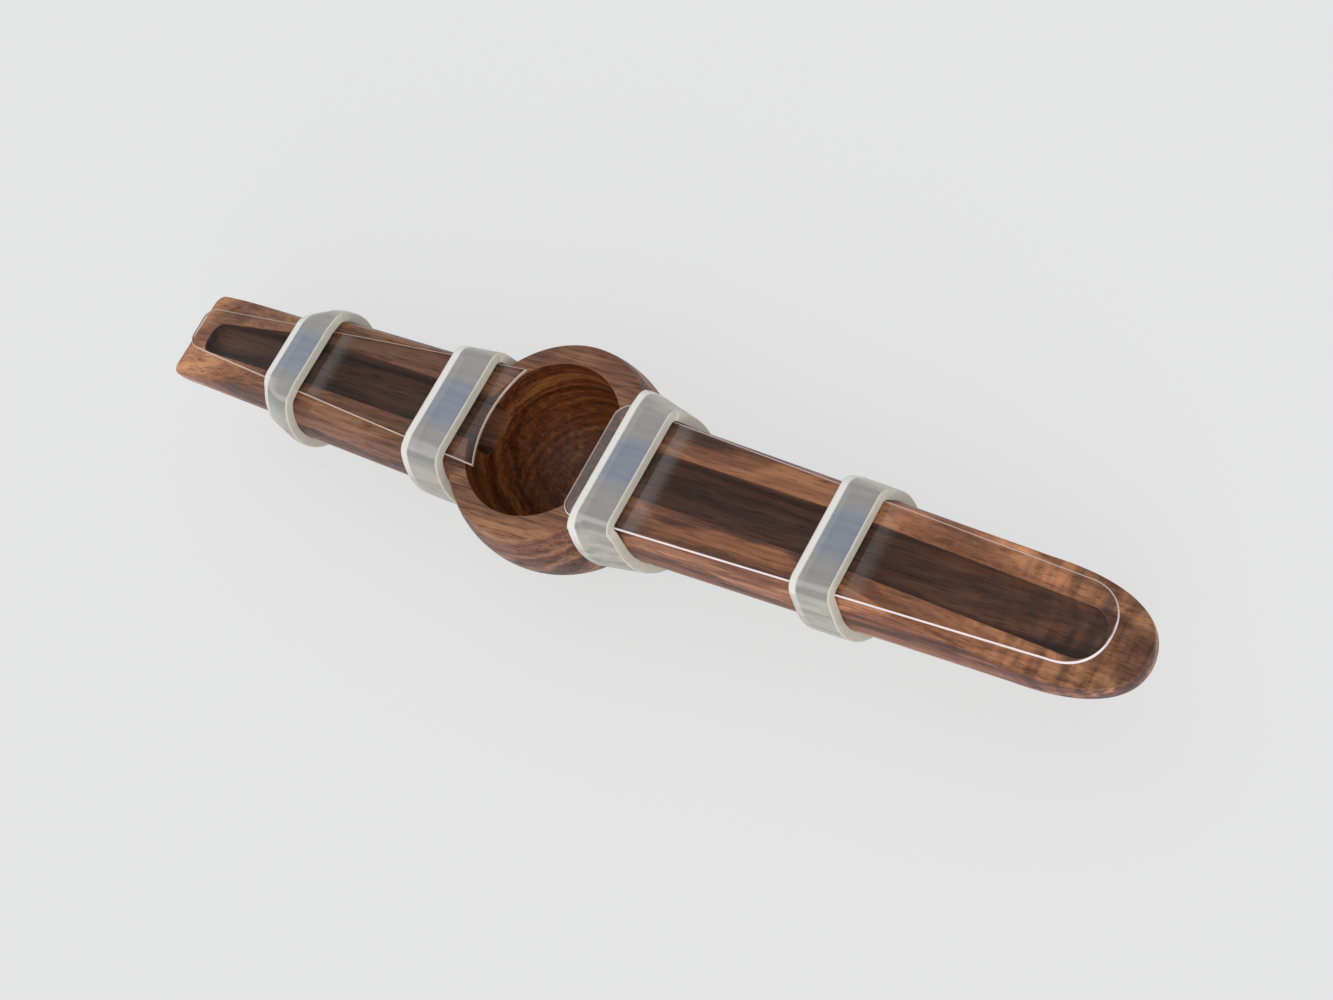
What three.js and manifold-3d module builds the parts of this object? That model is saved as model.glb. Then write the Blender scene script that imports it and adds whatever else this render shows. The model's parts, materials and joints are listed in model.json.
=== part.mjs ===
// Double-ended open-reed game call: a turned hardwood body, two clear film reeds
// and four stretched bands that clamp the reeds. Millimetres, +X towards the bullet nose, +Z up.
import * as THREE from "three";
import { mergeVertices } from "three/addons/utils/BufferGeometryUtils.js";
import Module from "manifold-3d";

// Turned body. Distances along the call are measured from the ball's centre.
const ballRadius = 14;
const flatHeight = 4.8;
const coveRadius = 1;
const shortArmLength = 66.1;
const shortArmRadiusAtBall = 8.4;
const shortArmRadiusAtShoulder = 7.9;
const shoulderDistance = 41.6;
const shoulderLength = 1.5;
const tipShoulderRadius = 6.65;
const tipRadius = 6.25;
const tipEdgeRadius = 1.5;
const longArmLength = 79.9;
const longArmRadiusAtBall = 8.5;
const longArmRadiusAtNose = 7;
const noseLength = 14.4;
const noseFullness = 2.45;

// Sound bowl, bored from the flat with a round-ended cutter
const bowlRadius = 10.4;
const bowlOffset = -0.7;
const bowlFloor = 2.8;

// Air channels, one along each arm, open into the bowl
const channelWidth = 6.2;
const channelDepth = 5.5;
const channelFloorRadius = 2;
const shortChannelLip = 3.2;
const shortChannelEndWidth = 4.5;
const shortChannelEndRadius = 1.8;
const longChannelLip = 5;
const longChannelEndWidth = 6.1;
const longChannelEndRadius = 2.9;

// Facings: past the outer band the flat falls away, so the reed's tongue stands clear
const shortFacingAngle = 11.8;
const longFacingAngle = 7.3;
const facingLead = 0.4;

// Film reeds
const reedThickness = 0.35;
const reedSplit = 0.3;
const shortReedTipWidth = 5.8;
const shortReedBowlWidth = 13.9;
const shortReedTipCorner = 1.7;
const shortReedTipSetback = 4.9;
const shortReedOverhang = 1.6;
const shortReedHollow = 15;
const shortReedSkew = 1.35;
const longReedBowlWidth = 15.4;
const longReedNoseWidth = 9.9;
const longReedRoundLength = 5.5;
const longReedRoundFullness = 2.3;
const longReedNoseSetback = 2.7;
const longReedOverhang = 2.5;
const longReedInnerCorner = 2;
const longReedOffset = -0.25;

// Stretched bands, cut from soft tube
const bandWall = 1.3;
const bandClearance = 0.2;
const shortOuterBandWidth = 5.4;
const shortOuterBandLean = -9;
const shortInnerBandWidth = 6.1;
const shortInnerBandDistance = 15.3;
const shortInnerBandLean = 3;
const longInnerBandWidth = 5.7;
const longInnerBandDistance = 12.7;
const longInnerBandLean = 5;
const longOuterBandWidth = 5.3;
const longOuterBandDistance = 43.3;

// Fineness of the round surfaces
const turnFacets = 64;
const arcSteps = 8;
const ballSteps = 20;
const noseSteps = 12;
const bandFacets = 48;
const bandStations = 6;

const wasm = await Module();
wasm.setup();

// Shape helpers

/** Joins a closed geometry's shared corners and makes it a solid that can be cut. */
function solidOf(geometry) {
  const bare = geometry.clone();
  bare.deleteAttribute("normal");
  bare.deleteAttribute("uv");
  const merged = mergeVertices(bare, 1e-4);
  return new wasm.Manifold(
    new wasm.Mesh({
      numProp: 3,
      vertProperties: new Float32Array(merged.attributes.position.array),
      triVerts: new Uint32Array(merged.index.array),
    }),
  );
}

/** Turns a cut solid back into a geometry. */
function geometryOf(solid) {
  const mesh = solid.getMesh();
  const geometry = new THREE.BufferGeometry();
  geometry.setAttribute("position", new THREE.BufferAttribute(mesh.vertProperties, 3));
  geometry.setIndex(new THREE.BufferAttribute(mesh.triVerts, 1));
  geometry.computeVertexNormals();
  return geometry;
}

/** Gives a block by its lowest and highest corners. */
function block(low, high) {
  const size = high.map((value, i) => value - low[i]);
  const geometry = new THREE.BoxGeometry(...size);
  return geometry.translate(...low.map((value, i) => value + size[i] / 2));
}

/** Gives points along an arc about (cx, cy), both ends included. */
function arc(cx, cy, radius, from, to, steps) {
  return Array.from({ length: steps + 1 }, (_, i) => {
    const angle = from + ((to - from) * i) / steps;
    return new THREE.Vector2(cx + radius * Math.cos(angle), cy + radius * Math.sin(angle));
  });
}

/** Half width of a rounded end at t from 0, where it starts, to 1, its tip. */
function roundedEnd(t, fullness) {
  return Math.pow(Math.max(0, 1 - Math.pow(t, fullness)), 1 / fullness);
}

// Turned profile: (distance along the call, radius) from the square tip to the nose

/** Where the small cove between the ball and an arm touches each of them. */
function coveAt(armRadius) {
  const height = armRadius + coveRadius;
  const reach = Math.sqrt((ballRadius + coveRadius) ** 2 - height ** 2);
  const ballAngle = Math.atan2(height, reach);
  return { height, reach, ballAngle };
}

/** The profile of the whole turning. */
function turnedProfile() {
  const left = coveAt(shortArmRadiusAtBall);
  const right = coveAt(longArmRadiusAtBall);
  const noseStart = longArmLength - noseLength;
  const nose = Array.from({ length: noseSteps + 1 }, (_, i) => {
    const t = Math.sin((i / noseSteps) * (Math.PI / 2));
    return new THREE.Vector2(
      noseStart + noseLength * t,
      longArmRadiusAtNose * roundedEnd(t, noseFullness),
    );
  });
  return [
    new THREE.Vector2(-shortArmLength, 0),
    ...arc(-shortArmLength + tipEdgeRadius, tipRadius - tipEdgeRadius, tipEdgeRadius, Math.PI, Math.PI / 2, 4),
    new THREE.Vector2(-shoulderDistance - shoulderLength / 2, tipShoulderRadius),
    new THREE.Vector2(-shoulderDistance + shoulderLength / 2, shortArmRadiusAtShoulder),
    ...arc(-left.reach, left.height, coveRadius, -Math.PI / 2, -left.ballAngle, 3),
    ...arc(0, 0, ballRadius, Math.PI - left.ballAngle, right.ballAngle, ballSteps).slice(1, -1),
    ...arc(right.reach, right.height, coveRadius, Math.PI + right.ballAngle, (3 * Math.PI) / 2, 3),
    ...nose,
  ];
}

const profile = turnedProfile();

/** Radius of the turning at a distance along the call. */
function bodyRadius(x) {
  const next = profile.findIndex((point, i) => i > 0 && point.x >= x);
  if (next < 1 || x < profile[0].x) {
    return 0;
  }
  const [a, b] = [profile[next - 1], profile[next]];
  return b.x === a.x ? Math.max(a.y, b.y) : a.y + ((b.y - a.y) * (x - a.x)) / (b.x - a.x);
}

// Places that several pieces share

const mouthLeft = bowlOffset - bowlRadius;
const mouthRight = bowlOffset + bowlRadius;
const shortOuterBandDistance = shoulderDistance;
const shortHinge = -shortOuterBandDistance - shortOuterBandWidth / 2;
const longHinge = longOuterBandDistance + longOuterBandWidth / 2;
const shortReedTip = -shortArmLength + shortReedTipSetback;
const longReedTip = longArmLength - longReedNoseSetback;

const shortChannel = {
  end: -shortArmLength + shortChannelLip,
  hinge: shortHinge,
  endWidth: shortChannelEndWidth,
  endRadius: shortChannelEndRadius,
};

const longChannel = {
  end: longArmLength - longChannelLip,
  hinge: longHinge,
  endWidth: longChannelEndWidth,
  endRadius: longChannelEndRadius,
};

// Call body

/** The turning itself, before it is cut. */
function turnedBlank() {
  const lathe = new THREE.LatheGeometry(
    profile.map((point) => new THREE.Vector2(point.y, point.x)),
    turnFacets,
  );
  return lathe.rotateZ(-Math.PI / 2);
}

/** Everything above the planed flat. */
function planedAway() {
  const reach = 2 * (shortArmLength + longArmLength);
  return block([-reach, -ballRadius * 2, flatHeight], [reach, ballRadius * 2, ballRadius * 2]);
}

/** The wedge that lets the flat fall away outwards, at an angle in degrees, from just inside the hinge. */
function facingWedge(hinge, angle) {
  const reach = 2 * longArmLength;
  const start = hinge - Math.sign(hinge) * facingLead;
  const end = start + Math.sign(hinge) * reach;
  const side = new THREE.Shape([
    new THREE.Vector2(start, flatHeight),
    new THREE.Vector2(end, flatHeight - reach * Math.tan(THREE.MathUtils.degToRad(angle))),
    new THREE.Vector2(end, flatHeight + ballRadius),
    new THREE.Vector2(start, flatHeight + ballRadius),
  ]);
  const wedge = new THREE.ExtrudeGeometry(side, { depth: ballRadius * 4, bevelEnabled: false });
  return wedge.rotateX(Math.PI / 2).translate(0, ballRadius * 2, 0);
}

/** The bowl: a straight bore with a round floor. */
function bowlCutter() {
  const floor = -ballRadius + bowlFloor;
  const outline = [
    ...arc(0, floor + bowlRadius, bowlRadius, -Math.PI / 2, 0, arcSteps + 4),
    new THREE.Vector2(bowlRadius, flatHeight + ballRadius),
    new THREE.Vector2(0, flatHeight + ballRadius),
  ];
  outline[0].x = 0;
  return new THREE.LatheGeometry(outline, turnFacets).rotateX(Math.PI / 2).translate(bowlOffset, 0, 0);
}

/** An air channel from the bowl's middle to its closed end, which narrows from the hinge outwards. */
function channelCutter({ end, hinge, endWidth, endRadius }) {
  const half = channelWidth / 2;
  const endHalf = endWidth / 2;
  const floor = flatHeight - channelDepth;
  const above = flatHeight + ballRadius;
  const side = Math.sign(end);
  const reach = Math.abs(end - bowlOffset);
  const taperStart = Math.abs(hinge - bowlOffset);
  const section = new THREE.Shape([
    ...arc(-half + channelFloorRadius, floor + channelFloorRadius, channelFloorRadius, Math.PI, 1.5 * Math.PI, 4),
    ...arc(half - channelFloorRadius, floor + channelFloorRadius, channelFloorRadius, 1.5 * Math.PI, 2 * Math.PI, 4),
    new THREE.Vector2(half, above),
    new THREE.Vector2(-half, above),
  ]);
  const plan = new THREE.Shape([
    new THREE.Vector2(0, -half),
    new THREE.Vector2(taperStart, -half),
    ...arc(reach - endRadius, -endHalf + endRadius, endRadius, -Math.PI / 2, 0, 6),
    ...arc(reach - endRadius, endHalf - endRadius, endRadius, 0, Math.PI / 2, 6),
    new THREE.Vector2(taperStart, half),
    new THREE.Vector2(0, half),
  ]);
  const trough = new THREE.ExtrudeGeometry(section, { depth: reach + half, bevelEnabled: false });
  trough.rotateX(Math.PI / 2).rotateZ(Math.PI / 2);
  const footprint = new THREE.ExtrudeGeometry(plan, { depth: above - floor + 1, bevelEnabled: false });
  footprint.translate(0, 0, floor - 0.5);
  const cutter = solidOf(trough).intersect(solidOf(footprint));
  return geometryOf(cutter)
    .rotateZ(side > 0 ? 0 : Math.PI)
    .translate(bowlOffset, 0, 0);
}

/** The whole wooden body. */
function callBody() {
  return geometryOf(
    solidOf(turnedBlank())
      .subtract(solidOf(planedAway()))
      .subtract(solidOf(facingWedge(shortHinge, shortFacingAngle)))
      .subtract(solidOf(facingWedge(longHinge, longFacingAngle)))
      .subtract(solidOf(bowlCutter()))
      .subtract(solidOf(channelCutter(shortChannel)))
      .subtract(solidOf(channelCutter(longChannel))),
  );
}

// Reeds

/** Half width of the short reed at a distance along the call. */
function shortReedHalfWidth(x) {
  const t = (x - shortReedTip) / (mouthLeft + shortReedOverhang - shortReedTip);
  return (shortReedTipWidth + (shortReedBowlWidth - shortReedTipWidth) * t) / 2;
}

/** Half width of the long reed at a distance along the call, its round end aside. */
function longReedHalfWidth(x) {
  const inner = mouthRight - longReedOverhang;
  const t = (x - inner) / (longReedTip - longReedRoundLength - inner);
  return (longReedBowlWidth + (longReedNoseWidth - longReedBowlWidth) * t) / 2;
}

/** Cuts a film from a plan outline and lays it on the flat. */
function film(outline) {
  const sheet = new THREE.ExtrudeGeometry(new THREE.Shape(outline), { depth: reedThickness, bevelEnabled: false });
  return sheet.translate(0, 0, flatHeight);
}

/** Turns a short reed film by its slight skew about the outer band. */
function skewed(geometry) {
  const pivot = -shortOuterBandDistance;
  return geometry
    .translate(-pivot, 0, 0)
    .rotateZ(THREE.MathUtils.degToRad(shortReedSkew))
    .translate(pivot, 0, 0);
}

/** The clamped part of the short reed, hollowed at its inner end to follow the bowl. */
function shortReedHeel() {
  const outer = shortHinge + reedSplit / 2;
  const middle = mouthLeft + shortReedOverhang;
  const half = shortReedHalfWidth(middle);
  const halfAngle = Math.asin(half / shortReedHollow);
  const inner = arc(middle + shortReedHollow, 0, shortReedHollow, Math.PI - halfAngle, Math.PI + halfAngle, 10);
  return skewed(
    film([
      new THREE.Vector2(outer, shortReedHalfWidth(outer)),
      new THREE.Vector2(outer, -shortReedHalfWidth(outer)),
      ...inner.reverse(),
    ]),
  );
}

/** The free tongue of the short reed, with two rounded corners at the tip. */
function shortReedTongue() {
  const inner = shortHinge - reedSplit / 2;
  const corner = shortReedTipCorner;
  const half = shortReedHalfWidth(shortReedTip);
  const atCorner = shortReedHalfWidth(shortReedTip + corner);
  return skewed(
    film([
      new THREE.Vector2(inner, -shortReedHalfWidth(inner)),
      new THREE.Vector2(inner, shortReedHalfWidth(inner)),
      new THREE.Vector2(shortReedTip + corner, atCorner),
      ...arc(shortReedTip + corner, half - corner, corner, Math.PI / 2, Math.PI, 5).slice(1),
      ...arc(shortReedTip + corner, -half + corner, corner, Math.PI, 1.5 * Math.PI, 5).slice(0, -1),
      new THREE.Vector2(shortReedTip + corner, -atCorner),
    ]),
  );
}

/** The clamped part of the long reed, which ends over the bowl with two round corners. */
function longReedHeel() {
  const outer = longHinge - reedSplit / 2;
  const inner = mouthRight - longReedOverhang;
  const corner = longReedInnerCorner;
  const half = longReedHalfWidth(inner);
  return film([
    new THREE.Vector2(outer, longReedHalfWidth(outer)),
    ...arc(inner + corner, half - corner, corner, Math.PI / 2, Math.PI, 5),
    ...arc(inner + corner, -half + corner, corner, Math.PI, 1.5 * Math.PI, 5),
    new THREE.Vector2(outer, -longReedHalfWidth(outer)),
  ]).translate(0, longReedOffset, 0);
}

/** The free tongue of the long reed, with its rounded end. */
function longReedTongue() {
  const inner = longHinge + reedSplit / 2;
  const start = longReedTip - longReedRoundLength;
  const half = longReedHalfWidth(start);
  const round = Array.from({ length: 11 }, (_, i) => {
    const t = Math.sin((i / 10) * (Math.PI / 2));
    return new THREE.Vector2(start + longReedRoundLength * t, half * roundedEnd(t, longReedRoundFullness));
  });
  return film([
    new THREE.Vector2(inner, -longReedHalfWidth(inner)),
    ...round.slice(0, -1).map((point) => new THREE.Vector2(point.x, -point.y)),
    ...round.reverse(),
    new THREE.Vector2(inner, longReedHalfWidth(inner)),
  ]).translate(0, longReedOffset, 0);
}

// Bands

/** Largest radius that a taut band keeps at x between its two rims, because it spans hollows. */
function tautRadius(x, from, to) {
  const samples = Array.from({ length: 25 }, (_, i) => from + ((to - from) * i) / 24);
  let radius = bodyRadius(x);
  for (const a of samples.filter((value) => value < x)) {
    for (const b of samples.filter((value) => value > x)) {
      const t = (x - a) / (b - a);
      radius = Math.max(radius, bodyRadius(a) * (1 - t) + bodyRadius(b) * t);
    }
  }
  return radius;
}

/** The corner of the arm and reed, seen end on, that lies farthest out in a direction. */
function outermost(radius, reedEdges, direction) {
  const lidHeight = flatHeight + reedThickness;
  const corners = reedEdges.map((edge) => new THREE.Vector2(edge, lidHeight));
  const edge = Math.sqrt(Math.max(0, radius ** 2 - flatHeight ** 2));
  corners.push(new THREE.Vector2(-edge, flatHeight), new THREE.Vector2(edge, flatHeight));
  if (direction.y * radius <= flatHeight) {
    corners.push(direction.clone().multiplyScalar(radius));
  }
  return corners.reduce((best, corner) => (corner.dot(direction) > best.dot(direction) ? corner : best));
}

/** A band round the arm and its reed, as a loft of rings. */
function band({ centre, width, lean, reedEdges }) {
  const slope = Math.tan(THREE.MathUtils.degToRad(lean));
  const positions = [];
  for (let station = 0; station <= bandStations; station += 1) {
    const offset = width * (station / bandStations - 0.5);
    for (const distance of [bandClearance, bandClearance + bandWall]) {
      for (let facet = 0; facet < bandFacets; facet += 1) {
        const angle = ((facet + 0.5) / bandFacets) * 2 * Math.PI - Math.PI / 2;
        const direction = new THREE.Vector2(Math.cos(angle), Math.sin(angle));
        const shift = slope * (flatHeight - Math.min(flatHeight, direction.y * bodyRadius(centre)));
        const x = centre + offset + shift;
        const radius = tautRadius(x, centre - width / 2 + shift, centre + width / 2 + shift);
        const corner = outermost(radius, reedEdges(x), direction);
        positions.push(x, corner.x + direction.x * distance, corner.y + direction.y * distance);
      }
    }
  }
  const geometry = new THREE.BufferGeometry();
  geometry.setAttribute("position", new THREE.Float32BufferAttribute(positions, 3));
  geometry.setIndex(ringFaces());
  geometry.computeVertexNormals();
  return geometry;
}

/** Faces of a band: its outside, its bore and its two rims. */
function ringFaces() {
  const at = (station, layer, facet) => (station * 2 + layer) * bandFacets + (facet % bandFacets);
  const faces = [];
  const quad = (a, b, c, d) => faces.push(a, b, c, a, c, d);
  for (let facet = 0; facet < bandFacets; facet += 1) {
    for (let station = 0; station < bandStations; station += 1) {
      quad(at(station, 1, facet), at(station, 1, facet + 1), at(station + 1, 1, facet + 1), at(station + 1, 1, facet));
      quad(at(station, 0, facet), at(station + 1, 0, facet), at(station + 1, 0, facet + 1), at(station, 0, facet + 1));
    }
    quad(at(0, 0, facet), at(0, 0, facet + 1), at(0, 1, facet + 1), at(0, 1, facet));
    const last = bandStations;
    quad(at(last, 0, facet), at(last, 1, facet), at(last, 1, facet + 1), at(last, 0, facet + 1));
  }
  return faces;
}

/** Both long edges of the skewed short reed at a distance along the call. */
function shortReedEdges(x) {
  const middle = Math.tan(THREE.MathUtils.degToRad(shortReedSkew)) * (x + shortOuterBandDistance);
  return [middle - shortReedHalfWidth(x), middle + shortReedHalfWidth(x)];
}

/** Both long edges of the long reed at a distance along the call. */
function longReedEdges(x) {
  return [longReedOffset - longReedHalfWidth(x), longReedOffset + longReedHalfWidth(x)];
}

// Assembly

const wood = { color: 0x5c3a2c, roughness: 0.5, metalness: 0 };
const clearFilm = { color: 0xd9d4cc, roughness: 0.15, metalness: 0 };
const softTube = { color: 0xc6cacb, roughness: 0.3, metalness: 0 };

/** Names a piece and gives it its own material. */
function piece(name, geometry, finish) {
  const mesh = new THREE.Mesh(geometry, new THREE.MeshStandardMaterial(finish));
  mesh.name = name;
  return mesh;
}

const bands = {
  short_reed_outer_band: {
    centre: -shortOuterBandDistance,
    width: shortOuterBandWidth,
    lean: shortOuterBandLean,
    reedEdges: shortReedEdges,
  },
  short_reed_inner_band: {
    centre: -shortInnerBandDistance,
    width: shortInnerBandWidth,
    lean: shortInnerBandLean,
    reedEdges: shortReedEdges,
  },
  long_reed_inner_band: {
    centre: longInnerBandDistance,
    width: longInnerBandWidth,
    lean: longInnerBandLean,
    reedEdges: longReedEdges,
  },
  long_reed_outer_band: {
    centre: longOuterBandDistance,
    width: longOuterBandWidth,
    lean: 0,
    reedEdges: longReedEdges,
  },
};

const call = new THREE.Group();
call.add(
  piece("call_body", callBody(), wood),
  piece("short_reed_heel", shortReedHeel(), clearFilm),
  piece("short_reed_tongue", shortReedTongue(), clearFilm),
  piece("long_reed_heel", longReedHeel(), clearFilm),
  piece("long_reed_tongue", longReedTongue(), clearFilm),
);
for (const [name, sizes] of Object.entries(bands)) {
  call.add(piece(name, band(sizes), softTube));
}

// The origin lies under the middle of the call, level with the bottom of the ball
call.position.set((shortArmLength - longArmLength) / 2, 0, ballRadius);
call.updateMatrixWorld(true);

export default call;
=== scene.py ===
"""Dresses the game call: a turned hardwood body, two clear film reeds and four stretched tube bands.

Sizes are in millimetres, measured along the call from the middle of its ball, as in the part's own source.
Every finished mesh is in metres in the part's frame, whose origin lies under the middle of the call.
"""

import json
import logging
import math
from dataclasses import dataclass
from enum import Enum
from typing import Any, Sequence

import bmesh
import bpy
import numpy as np
from bpy.types import Material, Mesh, Node, NodeSocket, NodeTree, Object
from mathutils import Matrix, Vector

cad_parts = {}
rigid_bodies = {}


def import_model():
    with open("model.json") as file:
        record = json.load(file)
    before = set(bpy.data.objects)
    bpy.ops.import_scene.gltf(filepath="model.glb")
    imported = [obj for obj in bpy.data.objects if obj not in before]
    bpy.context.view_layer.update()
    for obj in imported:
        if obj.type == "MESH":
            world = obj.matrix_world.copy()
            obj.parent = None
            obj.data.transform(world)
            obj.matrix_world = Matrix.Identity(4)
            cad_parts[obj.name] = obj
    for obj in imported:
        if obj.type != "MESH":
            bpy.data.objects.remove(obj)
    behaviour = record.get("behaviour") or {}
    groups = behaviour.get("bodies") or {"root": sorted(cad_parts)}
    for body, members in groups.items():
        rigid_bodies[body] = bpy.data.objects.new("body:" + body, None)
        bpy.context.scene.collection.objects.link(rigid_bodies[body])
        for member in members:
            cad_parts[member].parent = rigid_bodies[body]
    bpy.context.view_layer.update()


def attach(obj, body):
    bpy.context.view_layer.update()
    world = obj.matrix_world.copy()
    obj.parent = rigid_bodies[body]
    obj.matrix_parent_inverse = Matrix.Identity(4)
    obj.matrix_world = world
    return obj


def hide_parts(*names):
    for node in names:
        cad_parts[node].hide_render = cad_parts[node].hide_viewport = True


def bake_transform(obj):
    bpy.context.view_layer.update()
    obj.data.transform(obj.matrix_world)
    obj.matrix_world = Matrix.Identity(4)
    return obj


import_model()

LOG = logging.getLogger("game_call")
MM = 0.001
QUARTER = math.pi / 2  # turn, in radians
PHOTO_WIDTH = 1333
PHOTO_HEIGHT = 1000
BALL_MIDDLE = (-6.9, 0.0, 14.0)
JOIN_WITHIN = 1e-7
TURNED_JOIN_WITHIN = 1e-6
EASING_SEGMENTS = 3
SAME_PLACE = 1e-9
WALL_SHARP_ANGLE = 50.0
BODY_SHARP_ANGLE = 32.0

Pair = tuple[float, float]
Triple = tuple[float, float, float]
Plan = Sequence[Pair]
Finishes = tuple[Material, Material]
Colour = tuple[float, float, float, float]


# Small helpers


def linear(code: str) -> Colour:
    """Turns an sRGB hex colour into the linear colour that Blender's sockets take.

    Args:
        code: The colour as six hex digits after a #.

    Returns:
        Linear red, green, blue and an alpha of 1.
    """
    parts = [int(code[place : place + 2], 16) / 255 for place in (1, 3, 5)]
    straight = [part / 12.92 if part <= 0.04045 else ((part + 0.055) / 1.055) ** 2.4 for part in parts]
    return (straight[0], straight[1], straight[2], 1.0)


def grey(level: float) -> Colour:
    """Gives a linear grey of a level."""
    return (level, level, level, 1.0)


def new_object(name: str, mesh: Mesh) -> Object:
    """Puts a mesh in the scene as an object at the origin.

    Args:
        name: The object's name.
        mesh: Its mesh.

    Returns:
        The object.
    """
    mesh.name = name
    thing = bpy.data.objects.new(name, mesh)
    bpy.context.scene.collection.objects.link(thing)
    return thing


def mesh_of(name: str, points: Sequence[Sequence[float]], faces: Sequence[Sequence[int]]) -> Mesh:
    """Makes a mesh from points in millimetres from the ball's middle.

    Args:
        name: The mesh's name.
        points: Its points.
        faces: Its faces, as point numbers.

    Returns:
        The mesh, in metres and in the part's frame.
    """
    mesh = bpy.data.meshes.new(name)
    placed = [tuple((value + shift) * MM for value, shift in zip(point, BALL_MIDDLE)) for point in points]
    mesh.from_pydata(placed, [], [tuple(face) for face in faces])
    mesh.update()
    return mesh


def profile_mesh(name: str, line: Plan) -> Mesh:
    """Makes the row of points, as (distance, 0, radius) in metres, that the turning rule starts from."""
    mesh = bpy.data.meshes.new(name)
    mesh.from_pydata([(x * MM, 0.0, radius * MM) for x, radius in line], [], [])
    return mesh


def facing_out(mesh: Mesh) -> Mesh:
    """Joins a closed mesh's doubled points and turns its faces outwards.

    Args:
        mesh: The mesh, which is changed.

    Returns:
        The same mesh.
    """
    work = bmesh.new()
    work.from_mesh(mesh)
    bmesh.ops.remove_doubles(work, verts=work.verts, dist=JOIN_WITHIN)
    bmesh.ops.recalc_face_normals(work, faces=work.faces)
    work.to_mesh(mesh)
    work.free()
    return mesh


def evaluated(thing: Object) -> Mesh:
    """Takes the finished mesh of an object with all its modifiers, and clears the modifiers.

    Args:
        thing: The object.

    Returns:
        A plain mesh.
    """
    bpy.context.view_layer.update()
    graph = bpy.context.evaluated_depsgraph_get()
    mesh = bpy.data.meshes.new_from_object(thing.evaluated_get(graph), depsgraph=graph)
    thing.modifiers.clear()
    return mesh


def smooth_with_edges(mesh: Mesh, degrees: float) -> None:
    """Shades a mesh smooth and keeps its edges sharp past an angle."""
    mesh.shade_smooth()
    mesh.set_sharp_from_angle(angle=math.radians(degrees))


def ease_rims(thing: Object, width: float, finish: Material) -> None:
    """Rounds the raised edges where a cut meets a face, and gives the rounding the finish of the cut.

    Args:
        thing: The object that the wall rule made, whose mesh is replaced by the rounded one.
        width: Width of the rounding in millimetres.
        finish: The finish of the cut.
    """
    mesh = thing.data
    beside: dict[tuple[int, int], set[int]] = {}
    for polygon in mesh.polygons:
        for key in polygon.edge_keys:
            beside.setdefault(key, set()).add(polygon.material_index)
    raised = [mark.value > 0.5 for mark in mesh.attributes["raised"].data]
    weights = mesh.attributes.new("bevel_weight_edge", "FLOAT", "EDGE")
    for edge, weight in zip(mesh.edges, weights.data):
        first, second = edge.vertices
        meets_cut = len(beside[tuple(sorted(edge.vertices))]) > 1
        weight.value = float(meets_cut and raised[first] and raised[second])
    rim = thing.modifiers.new("Eased rim", "BEVEL")
    rim.width = width * MM
    rim.segments = EASING_SEGMENTS
    rim.limit_method = "WEIGHT"
    rim.use_clamp_overlap = False
    rim.material = mesh.materials.find(finish.name)
    thing.data = evaluated(thing)


def prism(name: str, outline: Plan, low: float, high: float, axis: str) -> Mesh:
    """Makes a straight prism from a flat outline.

    Args:
        name: The mesh's name.
        outline: Points across the axis: (x, y) for axis z, (y, z) for axis x and (x, z) for axis y.
        low: Where the prism starts along the axis.
        high: Where it ends.
        axis: The letter of the axis.

    Returns:
        The closed mesh.
    """
    spread = {
        "x": lambda a, b, along: (along, a, b),
        "y": lambda a, b, along: (a, along, b),
        "z": lambda a, b, along: (a, b, along),
    }[axis]
    count = len(outline)
    points = [spread(a, b, along) for along in (low, high) for a, b in outline]
    faces: list[list[int]] = [list(range(count)), list(range(count, 2 * count))]
    faces += [[i, (i + 1) % count, (i + 1) % count + count, i + count] for i in range(count)]
    return facing_out(mesh_of(name, points, faces))


def arc(cx: float, cy: float, radius: float, start: float, end: float, steps: int) -> list[Pair]:
    """Gives points along an arc about (cx, cy), from one angle in radians to another, both ends included."""
    angles = [start + (end - start) * i / steps for i in range(steps + 1)]
    return [(cx + radius * math.cos(angle), cy + radius * math.sin(angle)) for angle in angles]


def rounded_end(start: float, length: float, half: float, fullness: float, steps: int) -> list[Pair]:
    """Gives (place, half width) along a rounded end. A fullness of 2 makes an ellipse, more is blunter."""
    shares = [math.sin(step / steps * math.pi / 2) for step in range(steps + 1)]
    return [(start + length * t, half * max(0.0, 1 - t**fullness) ** (1 / fullness)) for t in shares]


# Node trees and shape rules


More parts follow.
